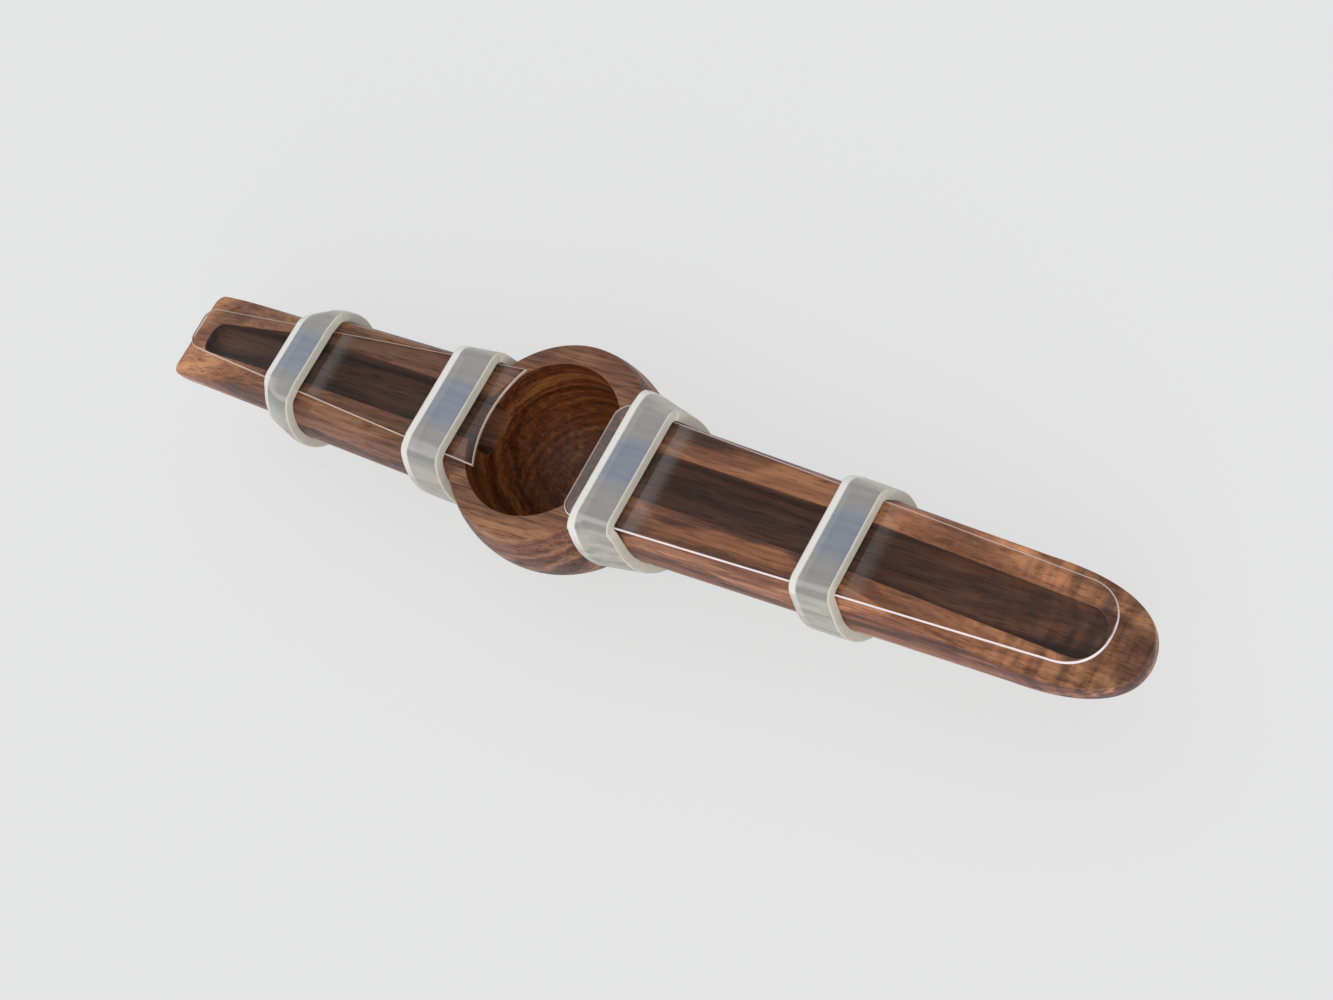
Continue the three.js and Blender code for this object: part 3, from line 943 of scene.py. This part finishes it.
@dataclass
class CallBody:
    """The one piece of turned hardwood: ball, two arms, planed flat, bowl, two channels and two facings."""

    ball_radius: float = 14.0
    flat_height: float = 4.8
    cove_radius: float = 1.0
    short_arm_length: float = 66.1
    short_arm_radius_at_ball: float = 8.4
    short_arm_radius_at_shoulder: float = 7.9
    shoulder_distance: float = 41.6
    shoulder_length: float = 1.5
    tip_shoulder_radius: float = 6.65
    tip_radius: float = 6.25
    tip_edge_radius: float = 1.5
    long_arm_length: float = 79.9
    long_arm_radius_at_ball: float = 8.5
    long_arm_radius_at_nose: float = 7.0
    nose_length: float = 14.4
    nose_fullness: float = 2.45
    bowl_radius: float = 10.4
    bowl_offset: float = -0.7
    bowl_floor: float = 2.8
    channel_width: float = 6.2
    channel_depth: float = 5.5
    channel_floor_radius: float = 2.0
    # Lip, end width and end radius of each channel
    short_channel_end: Triple = (3.2, 4.5, 1.8)
    long_channel_end: Triple = (5.0, 6.1, 2.9)
    short_hinge: float = -44.3
    long_hinge: float = 45.95
    short_facing_angle: float = 11.8
    long_facing_angle: float = 7.3
    facing_lead: float = 0.4
    facing_reach: float = 60.0
    planer_reach: float = 100.0
    planer_top: float = 40.0
    cutter_half_width: float = 25.0
    cutter_overrun: float = 0.5
    trough_overrun: float = 1.0
    longest_piece: float = 2.5
    facets: int = 144
    bowl_facets: int = 160
    bore_rows: int = 8

    def profile(self) -> list[Pair]:
        """Gives the turned outline from the square tip to the nose.

        Returns:
            Points as (distance along the call, radius).
        """
        cove = self.cove_radius
        height_left = self.short_arm_radius_at_ball + cove
        height_right = self.long_arm_radius_at_ball + cove
        left = math.sqrt((self.ball_radius + cove) ** 2 - height_left**2)
        right = math.sqrt((self.ball_radius + cove) ** 2 - height_right**2)
        left_angle = math.atan2(height_left, left)
        right_angle = math.atan2(height_right, right)
        edge = self.tip_edge_radius
        half_shoulder = self.shoulder_length / 2
        nose_start = self.long_arm_length - self.nose_length
        nose_radius = self.long_arm_radius_at_nose
        return [
            (-self.short_arm_length, 0.0),
            *arc(-self.short_arm_length + edge, self.tip_radius - edge, edge, math.pi, QUARTER, steps=10),
            (-self.shoulder_distance - half_shoulder, self.tip_shoulder_radius),
            (-self.shoulder_distance + half_shoulder, self.short_arm_radius_at_shoulder),
            *arc(-left, height_left, cove, -QUARTER, -left_angle, steps=8),
            *arc(0, 0, self.ball_radius, math.pi - left_angle, right_angle, steps=72)[1:-1],
            *arc(right, height_right, cove, math.pi + right_angle, 3 * QUARTER, steps=8),
            *rounded_end(nose_start, self.nose_length, nose_radius, self.nose_fullness, steps=36),
        ]

    def radius_at(self, x: np.ndarray) -> np.ndarray:
        """Gives the turning's radius at distances along the call."""
        line = np.array(self.profile())
        return np.interp(x, line[:, 0], line[:, 1])

    def turned_blank(self, lathe: Rule, finish: Material) -> Object:
        """Turns the blank.

        Args:
            lathe: The turning rule.
            finish: The finish of the turned surface.

        Returns:
            The closed blank.
        """
        dense: list[Pair] = []
        line = self.profile()
        for (x0, r0), (x1, r1) in zip(line, line[1:]):
            steps = max(1, round(math.hypot(x1 - x0, r1 - r0) / self.longest_piece))
            dense += [(x0 + (x1 - x0) * i / steps, r0 + (r1 - r0) * i / steps) for i in range(steps)]
        blank = new_object("turned_body", profile_mesh("turned_profile", [*dense, line[-1]]))
        mesh = lathe.apply(blank, {"Facets": self.facets, "Material": finish})
        mesh.transform(Matrix.Translation(Vector(BALL_MIDDLE) * MM))
        blank.data = facing_out(mesh)
        return blank

    def bowl_cutter(self, lathe: Rule, finish: Material) -> Object:
        """Makes the solid that the bowl's cutter sweeps: a straight bore with a round floor.

        Args:
            lathe: The turning rule.
            finish: The finish that the cutter leaves.

        Returns:
            The cutter.
        """
        low, top = -self.ball_radius + self.bowl_floor, self.flat_height + self.ball_radius
        radius = self.bowl_radius
        floor = [(x, max(half, 0.0)) for x, half in arc(low + radius, 0.0, radius, math.pi, QUARTER, steps=40)]
        steps = self.bore_rows
        wall = [(low + radius + (top - low - radius) * i / steps, radius) for i in range(1, steps + 1)]
        cutter = new_object("bowl_cutter", profile_mesh("bowl_profile", [*floor, *wall, (top, 0.0)]))
        mesh = lathe.apply(cutter, {"Facets": self.bowl_facets, "Material": finish})
        there = Vector((BALL_MIDDLE[0] + self.bowl_offset, 0.0, BALL_MIDDLE[2])) * MM
        mesh.transform(Matrix.Translation(there) @ Matrix.Rotation(-QUARTER, 4, "Y"))
        cutter.data = facing_out(mesh)
        return cutter

    def channel_cutter(self, side: int, finish: Material) -> Object:
        """Makes the solid that the router sweeps along one arm.

        Args:
            side: 1 for the long arm, -1 for the short one.
            finish: The finish that the router leaves.

        Returns:
            The cutter.
        """
        half, corner = self.channel_width / 2, self.channel_floor_radius
        floor = self.flat_height - self.channel_depth
        top = self.flat_height + self.ball_radius
        lip, end_width, end_radius = self.long_channel_end if side > 0 else self.short_channel_end
        end = (self.long_arm_length if side > 0 else self.short_arm_length) - lip
        hinge = abs(self.long_hinge if side > 0 else self.short_hinge)
        section = [
            *arc(-half + corner, floor + corner, corner, math.pi, 3 * QUARTER, steps=10),
            *arc(half - corner, floor + corner, corner, 3 * QUARTER, 2 * math.pi, steps=10),
            (half, top),
            (-half, top),
        ]
        plan = [
            (side * self.bowl_offset, -half),
            (hinge, -half),
            *arc(end - end_radius, -end_width / 2 + end_radius, end_radius, -QUARTER, 0, steps=14),
            *arc(end - end_radius, end_width / 2 - end_radius, end_radius, 0, QUARTER, steps=14),
            (hinge, half),
            (side * self.bowl_offset, half),
        ]
        low, high = sorted((self.bowl_offset, side * (end + self.trough_overrun)))
        trough = new_object("trough", prism("trough", section, low, high, "x"))
        outline = [(side * a, b) for a, b in plan]
        over = self.cutter_overrun
        stencil = new_object("footprint", prism("footprint", outline, floor - over, top - over, "z"))
        for mesh in (trough.data, stencil.data):
            mesh.materials.append(finish)
        cut_with(trough, stencil, "INTERSECT")
        trough.data = evaluated(trough)
        bpy.data.objects.remove(stencil)
        return trough

    def side_cutter(self, name: str, outline: Plan, finish: Material) -> Object:
        """Makes a cutter that runs straight across the call, from its outline in the side view."""
        cutter = new_object(name, prism(name, outline, -self.cutter_half_width, self.cutter_half_width, "y"))
        cutter.data.materials.append(finish)
        return cutter

    def facing_cutter(self, hinge: float, angle: float, finish: Material) -> Object:
        """Makes the wedge that lets the flat fall away past the outer band.

        Args:
            hinge: Where the reed's free tongue starts.
            angle: The fall in degrees.
            finish: The finish that it leaves.

        Returns:
            The wedge.
        """
        side = math.copysign(1.0, hinge)
        start = hinge - side * self.facing_lead
        end = start + side * self.facing_reach
        low = self.flat_height - self.facing_reach * math.tan(math.radians(angle))
        top = self.flat_height + self.ball_radius
        outline = [(start, self.flat_height), (end, low), (end, top), (start, top)]
        return self.side_cutter("facing_cutter", outline, finish)

    def build(self, lathe: Rule) -> Object:
        """Turns, planes, bores and routes the body, and dresses each cut in its own finish.

        Args:
            lathe: The turning rule.

        Returns:
            The finished body.
        """
        turned, planed, sanded, bored, routed = (wood.material() for wood in WOOD_FINISHES)
        body = self.turned_blank(lathe, turned)
        reach, low, top = self.planer_reach, self.flat_height, self.planer_top
        cutters = [
            self.side_cutter("planer", [(-reach, low), (reach, low), (reach, top), (-reach, top)], planed),
            self.facing_cutter(self.short_hinge, self.short_facing_angle, sanded),
            self.facing_cutter(self.long_hinge, self.long_facing_angle, sanded),
            self.bowl_cutter(lathe, bored),
            self.channel_cutter(-1, routed),
            self.channel_cutter(1, routed),
        ]
        for cutter in cutters:
            cut_with(body, cutter, "DIFFERENCE")
        body.data = evaluated(body)
        for cutter in cutters:
            bpy.data.objects.remove(cutter)
        smooth_with_edges(body.data, BODY_SHARP_ANGLE)
        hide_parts("call_body")
        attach(body, "call")
        LOG.info("body: %d faces", len(body.data.polygons))
        return body


def cut_with(thing: Object, cutter: Object, operation: str) -> None:
    """Adds a cut to an object, which takes the cutter's finish where it is cut.

    Args:
        thing: The object to be cut.
        cutter: The cutting solid.
        operation: DIFFERENCE or INTERSECT.
    """
    cutter.hide_render = True
    modifier = thing.modifiers.new(cutter.name, "BOOLEAN")
    modifier.operation = operation
    modifier.object = cutter
    modifier.solver = "EXACT"
    modifier.material_mode = "TRANSFER"


# Reeds and bands


def walled(
    name: str, surface: Mesh, wall: Rule, thickness: float, rim_round: float, finishes: Finishes
) -> Object:
    """Gives an open surface its wall, eased rims and finishes.

    Args:
        name: The name of the piece.
        surface: Its inner surface, with the attribute "outwards".
        wall: The rule that gives a surface its wall.
        thickness: The wall in millimetres.
        rim_round: The rounding of its rims in millimetres.
        finishes: The finish of its faces and that of its cuts.

    Returns:
        The piece.
    """
    face, cut = finishes
    piece = new_object(name, surface)
    piece.data = wall.apply(piece, {"Wall": thickness * MM, "Face finish": face, "Cut finish": cut})
    facing_out(piece.data)
    ease_rims(piece, rim_round, cut)
    smooth_with_edges(piece.data, WALL_SHARP_ANGLE)
    LOG.info("%s: %d faces", name, len(piece.data.polygons))
    return piece


def point_outwards(surface: Mesh, ways: Sequence[Triple]) -> None:
    """Stores the direction of the wall at each point of a surface."""
    outwards = surface.attributes.new("outwards", "FLOAT_VECTOR", "POINT")
    outwards.data.foreach_set("vector", np.array(ways, dtype=np.float32).ravel())


@dataclass
class Reed:
    """A clear film reed: one sheet, clamped from its inner end to the outer band and free beyond it."""

    name: str
    heel_body: str
    tongue_body: str
    nodes: tuple[str, str]
    hinge: float
    thickness: float = 0.33
    lift: float = 0.02
    columns: int = 12
    bend_length: float = 5.0
    rim_round: float = 0.12

    def half_width(self, x: float) -> float:
        """Gives half the width at a distance along the call, round ends and corners aside."""
        raise NotImplementedError

    def rows(self) -> list[Pair]:
        """Gives the sheet's rows as (place along the call at the middle, half width)."""
        raise NotImplementedError

    def placed(self, x: float, across: float) -> Pair:
        """Gives where a row's point lies along and across the call."""
        raise NotImplementedError

    def corner_rows(self, start: float, corner: float, widening: bool) -> list[Pair]:
        """Gives the rows of an end with two rounded corners, between which the sheet may keep widening."""
        corners = arc(start + corner, 0.0, corner, math.pi, QUARTER, steps=12)
        return [(x, self.half_width(x if widening else start) - corner + height) for x, height in corners]

    def straight_rows(self, places: np.ndarray) -> list[Pair]:
        """Gives the rows at places between the ends."""
        return [(float(x), self.half_width(float(x))) for x in places]

    def build(self, wall: Rule, finishes: Finishes, flat: float) -> Object:
        """Cuts the sheet and gives it its thickness.

        Args:
            wall: The rule that gives a surface its wall.
            finishes: The finish of the film's faces and that of its cut edge.
            flat: Height of the planed flat.

        Returns:
            The finished film.
        """
        rows, span = self.rows(), self.columns + 1
        points = []
        for x, half in rows:
            for column in range(span):
                across = (2 * column / self.columns - 1) * half
                points.append((*self.placed(x, across), flat + self.lift))
        corners = [row * span + column for row in range(len(rows) - 1) for column in range(self.columns)]
        faces = [[first, first + span, first + span + 1, first + 1] for first in corners]
        sheet = mesh_of(self.name, points, faces)
        point_outwards(sheet, [(0.0, 0.0, 1.0)] * len(points))
        film = walled(self.name, sheet, wall, self.thickness, self.rim_round, finishes)
        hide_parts(*self.nodes)
        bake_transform(film)
        return film


@dataclass
class ShortReed(Reed):
    """The short reed: narrow at its tip with two rounded corners, hollowed at the bowl, and a little skewed."""

    tip: float = -61.2
    inner: float = -9.5
    tip_width: float = 5.8
    bowl_width: float = 13.9
    tip_corner: float = 1.7
    hollow: float = 15.0
    skew: float = 1.35
    pivot: float = -41.6
    row_count: int = 60

    def half_width(self, x: float) -> float:
        """Gives half the width at a distance along the call, its rounded corners aside."""
        t = (x - self.tip) / (self.inner - self.tip)
        return (self.tip_width + (self.bowl_width - self.tip_width) * t) / 2

    def rows(self) -> list[Pair]:
        """Gives the sheet's rows as (place along the call at the middle, half width)."""
        straight = np.linspace(self.tip + self.tip_corner, self.inner, self.row_count)[1:]
        return [*self.corner_rows(self.tip, self.tip_corner, True), *self.straight_rows(straight)]

    def placed(self, x: float, across: float) -> Pair:
        """Bends the rows towards the bowl into its arc, and turns the sheet by its skew."""
        full = self.hollow - math.sqrt(self.hollow**2 - across**2)
        near_bowl = max(0.0, (x - self.hinge) / (self.inner - self.hinge))
        along = x + full * near_bowl - self.pivot
        angle = math.radians(self.skew)
        return (
            along * math.cos(angle) - across * math.sin(angle) + self.pivot,
            along * math.sin(angle) + across * math.cos(angle),
        )

    def edges(self, x: float) -> Pair:
        """Gives where both long edges lie across the call at a distance along it."""
        middle = math.tan(math.radians(self.skew)) * (x - self.pivot)
        return (middle - self.half_width(x), middle + self.half_width(x))


@dataclass
class LongReed(Reed):
    """The long reed: wide at the bowl with two round corners, and rounded at the nose."""

    tip: float = 77.2
    inner: float = 7.2
    bowl_width: float = 15.4
    nose_width: float = 9.9
    nose_least: float = 0.02
    round_length: float = 5.5
    round_fullness: float = 2.3
    inner_corner: float = 2.0
    offset: float = -0.25
    row_count: int = 66

    def half_width(self, x: float) -> float:
        """Gives half the width at a distance along the call, its round end and corners aside."""
        t = (x - self.inner) / (self.tip - self.round_length - self.inner)
        return (self.bowl_width + (self.nose_width - self.bowl_width) * t) / 2

    def rows(self) -> list[Pair]:
        """Gives the sheet's rows as (place along the call at the middle, half width)."""
        start = self.tip - self.round_length
        straight = np.linspace(self.inner + self.inner_corner, start, self.row_count)[1:-1]
        nose = rounded_end(start, self.round_length, self.half_width(start), self.round_fullness, steps=24)
        return [
            *self.corner_rows(self.inner, self.inner_corner, False),
            *self.straight_rows(straight),
            *((x, max(self.nose_least, half)) for x, half in nose),
        ]

    def placed(self, x: float, across: float) -> Pair:
        """Lays a row straight across, at the film's small sideways offset."""
        return (x, across + self.offset)

    def edges(self, x: float) -> Pair:
        """Gives where both long edges lie across the call at a distance along it."""
        return (self.offset - self.half_width(x), self.offset + self.half_width(x))


@dataclass
class Band:
    """A slice of soft tube, stretched round an arm and its reed."""

    name: str
    node: str
    body: str
    centre: float
    width: float
    lean: float
    clearance: float = 0.04
    wall: float = 1.2
    bend_radius: float = 0.8
    stations: int = 8
    directions: int = 168
    hollow_samples: int = 25
    rim_round: float = 0.18

    def taut_radius(self, call: CallBody, x: float, low: float, high: float) -> float:
        """Gives the largest radius that the stretched band keeps at x, because it spans hollows.

        Args:
            call: The body it is stretched round.
            x: The place along the call.
            low: The band's left rim there.
            high: Its right rim there.

        Returns:
            The radius.
        """
        places = np.linspace(low, high, self.hollow_samples)
        radii = call.radius_at(places)
        here = float(call.radius_at(np.array([x]))[0])
        left, right = places < x - SAME_PLACE, places > x + SAME_PLACE
        if not left.any() or not right.any():
            return here
        a, ra = places[left][:, None], radii[left][:, None]
        b, rb = places[right][None, :], radii[right][None, :]
        share = (x - a) / (b - a)
        return max(here, float((ra * (1 - share) + rb * share).max()))

    def inner_point(self, flat: float, lid: float, radius: float, edges: Pair, way: Pair) -> Pair:
        """Gives the point of the stretched bore that faces one way.

        The bore wraps circles: the arm, and one as tight as the tube bends at each edge of the film and the flat.

        Args:
            flat: Height of the planed flat.
            lid: Height of the film's upper face.
            radius: The arm's radius.
            edges: Where the film's edges lie across the call.
            way: The direction, across and up.

        Returns:
            The point, across and up.
        """
        bend = self.bend_radius
        chord = math.sqrt(max(0.0, radius**2 - flat**2))
        inwards = bend * math.sqrt(0.5)
        circles = [(edge - math.copysign(inwards, edge), lid - inwards, bend) for edge in edges]
        kept = 1 - bend / radius
        circles += [(side * chord * kept, flat * kept, bend) for side in (-1, 1)]
        if way[1] * radius <= flat:
            circles.append((0.0, 0.0, radius))
        best = max(circles, key=lambda circle: circle[0] * way[0] + circle[1] * way[1] + circle[2])
        reach = best[2] + self.clearance
        return (best[0] + way[0] * reach, best[1] + way[1] * reach)

    def build(self, wall: Rule, call: CallBody, reed: ShortReed | LongReed, finishes: Finishes) -> Object:
        """Stretches the band round its arm and reed.

        Args:
            wall: The rule that gives a surface its wall.
            call: The body it is stretched round.
            reed: The film that it clamps.
            finishes: The tube's finish and that of its cut ends.

        Returns:
            The finished band.
        """
        flat, count = call.flat_height, self.directions
        lid = flat + reed.lift + reed.thickness
        slope = math.tan(math.radians(self.lean))
        at_centre = float(call.radius_at(np.array([self.centre]))[0])
        points, ways = [], []
        for station in range(self.stations + 1):
            offset = self.width * (station / self.stations - 0.5)
            for step in range(count):
                angle = (step + 0.5) / count * 2 * math.pi - math.pi / 2
                way = (math.cos(angle), math.sin(angle))
                middle = slope * (flat - min(flat, way[1] * at_centre))
                x = self.centre + offset + middle
                low, high = self.centre - self.width / 2 + middle, self.centre + self.width / 2 + middle
                radius = self.taut_radius(call, x, low, high)
                points.append((x, *self.inner_point(flat, lid, radius, reed.edges(x), way)))
                ways.append((0.0, *way))
        faces = []
        for first in range(0, self.stations * count, count):
            for step in range(count):
                after = (step + 1) % count
                faces.append([first + step, first + after, first + count + after, first + count + step])
        surface = mesh_of(self.name, points, faces)
        point_outwards(surface, ways)
        # From 1 at the rim on the -X side to -1 at the other
        towards_cut = surface.attributes.new("towards_cut", "FLOAT", "POINT")
        shares = [1 - 2 * station / self.stations for station in range(self.stations + 1)]
        towards_cut.data.foreach_set("value", np.repeat(np.array(shares, dtype=np.float32), count))
        band = walled(self.name, surface, wall, self.wall, self.rim_round, finishes)
        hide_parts(self.node)
        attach(band, self.body)
        return band


# Studio


@dataclass
class Studio:
    """The pale floor, the soft light and the camera at the photograph's angle."""

    turn: float = 66.39147
    rise: float = 51.57041
    roll: float = -41.89216
    focal_pixels: float = 2500.0
    distance: float = 302.1
    ball_pixel: Pair = (564.0168, 459.2419)
    sensor: float = 36.0
    clip: Pair = (0.01, 10.0)
    background: str = "#E6E6E6"
    surround: str = "#F4F5F7"
    surround_strength: float = 0.72
    shadow_thinning: float = 0.78
    floor_reach: float = 1500.0
    floor_gap: float = 0.05
    paper_grain: float = 2.0
    # Name, place and size in metres, and power in watts
    lamps: tuple[tuple[str, Triple, float, float], ...] = (
        ("window_lamp", (0.45, -0.6, 0.5), 0.8, 4.2),
        ("fill_lamp", (-0.6, 0.35, 0.6), 0.9, 1.4),
    )

    def camera(self) -> Object:
        """Places the camera so that the ball's middle falls on its pixel of the photograph.

        Returns:
            The camera.
        """
        turn, rise, roll = (math.radians(value) for value in (self.turn, self.rise, self.roll))
        back = Vector((math.sin(turn) * math.cos(rise), -math.cos(turn) * math.cos(rise), math.sin(rise)))
        level = Vector((math.cos(turn), math.sin(turn), 0.0))
        upright = back.cross(level)
        right = math.cos(roll) * level + math.sin(roll) * upright
        up = -math.sin(roll) * level + math.cos(roll) * upright
        across = (self.ball_pixel[0] - PHOTO_WIDTH / 2) * self.distance / self.focal_pixels
        down = (self.ball_pixel[1] - PHOTO_HEIGHT / 2) * self.distance / self.focal_pixels
        place = Vector(BALL_MIDDLE) - (right * across - up * down - back * self.distance)
        data = bpy.data.cameras.new("photo_camera")
        data.sensor_width = self.sensor
        data.lens = self.focal_pixels * self.sensor / PHOTO_WIDTH
        data.clip_start, data.clip_end = self.clip
        camera = new_object("photo_camera", data)
        turned = Matrix((right, up, back)).transposed().to_4x4()
        camera.matrix_world = Matrix.Translation(place * MM) @ turned
        bpy.context.scene.camera = camera
        return camera

    def floor(self) -> Object:
        """Lays the pale floor.

        Returns:
            The floor.
        """
        reach, below = self.floor_reach, -BALL_MIDDLE[2] - self.floor_gap
        corners = [(x * reach, y * reach, below) for x, y in ((-1, -1), (1, -1), (1, 1), (-1, 1))]
        floor = new_object("studio_floor", mesh_of("studio_floor", corners, [[0, 1, 2, 3]]))
        material, graph = new_material("Studio floor, matt pale paper")
        paper = graph.noise(graph.place(), 2.0, 0.5, 1 / (self.paper_grain * MM))
        rough = graph.ranged(paper, (0.3, 0.7), (0.9, 1.0))
        # No sheen, so that the floor keeps one tone
        matt = {"Base Color": linear(self.background), "Roughness": rough, "Specular IOR Level": 0.0}
        skin = graph.add("ShaderNodeBsdfPrincipled", matt).outputs[0]
        # The camera sees a floor whose shadow is thinned, as a wide bank of lamps would leave it
        sheet = graph.add("ShaderNodeEmission", {"Color": linear(self.background), "Strength": 1.0}).outputs[0]
        ray = graph.add("ShaderNodeLightPath").outputs["Is Camera Ray"]
        thinned = graph.math("MULTIPLY", ray, self.shadow_thinning)
        graph.surface(graph.add("ShaderNodeMixShader", {0: thinned, 1: skin, 2: sheet}))
        floor.data.materials.append(material)
        return floor

    def lamp(self, name: str, place: Triple, size: float, power: float) -> None:
        """Hangs a square soft lamp that looks at the middle of the call.

        Args:
            name: The lamp's name.
            place: Where it hangs, in metres.
            size: The length of its sides in metres.
            power: Its power in watts.
        """
        data = bpy.data.lights.new(name, "AREA")
        data.size = size
        data.energy = power
        lamp = new_object(name, data)
        lamp.location = place
        lamp.rotation_mode = "QUATERNION"
        lamp.rotation_quaternion = (-Vector(place)).to_track_quat("-Z", "Y")

    def light(self) -> None:
        """Sets an even pale surround and two soft lamps."""
        world = bpy.data.worlds.new("studio_surround")
        bpy.context.scene.world = world
        world.use_nodes = True
        world.node_tree.nodes.clear()
        graph = Graph(world.node_tree)
        pale = {"Color": linear(self.surround), "Strength": self.surround_strength}
        glow = graph.add("ShaderNodeBackground", pale).outputs[0]
        graph.add("ShaderNodeOutputWorld", {"Surface": glow})
        for lamp in self.lamps:
            self.lamp(*lamp)


def main() -> None:
    """Builds the call, its reeds, its bands and the studio, in that order."""
    logging.basicConfig(level=logging.INFO, format="%(name)s %(message)s")
    bpy.context.scene.view_settings.view_transform = "Standard"
    lathe, wall = turning_rule(), wall_rule()
    call = CallBody()
    call.build(lathe)

    film = ClearFilm("Clear polyester film, pressed").material()
    dull = CutFilmEdge("Clear polyester film, sheared edge, dull", "#D9C6B8", "#B49C8B", "#A28A79")
    short_edge, long_edge = dull.material(), CutFilmEdge("Clear polyester film, sheared edge").material()
    short_nodes, long_nodes = ("short_reed_heel", "short_reed_tongue"), ("long_reed_heel", "long_reed_tongue")
    short_reed = ShortReed("short_reed_film", "short_reed", "short_tongue", short_nodes, call.short_hinge)
    long_reed = LongReed("long_reed_film", "long_reed", "long_tongue", long_nodes, call.long_hinge)
    for reed, edge in ((short_reed, short_edge), (long_reed, long_edge)):
        reed.build(wall, (film, edge), call.flat_height)

    tube = MilkyTube("Soft clear tube, stretched").material()
    tube_end = CutTubeEnd("Soft clear tube, knife cut").material()
    bands = [
        (Band("short_outer_tube", "short_reed_outer_band", "short_outer_band", -41.6, 5.4, -9.0), short_reed),
        (Band("short_inner_tube", "short_reed_inner_band", "short_inner_band", -15.3, 6.1, 3.0), short_reed),
        (Band("long_inner_tube", "long_reed_inner_band", "long_inner_band", 12.7, 5.7, 5.0), long_reed),
        (Band("long_outer_tube", "long_reed_outer_band", "long_outer_band", 43.3, 5.3, 0.0), long_reed),
    ]
    for band, reed in bands:
        band.build(wall, call, reed, (tube, tube_end))

    studio = Studio()
    studio.camera()
    studio.floor()
    studio.light()


if __name__ == "__main__":
    main()
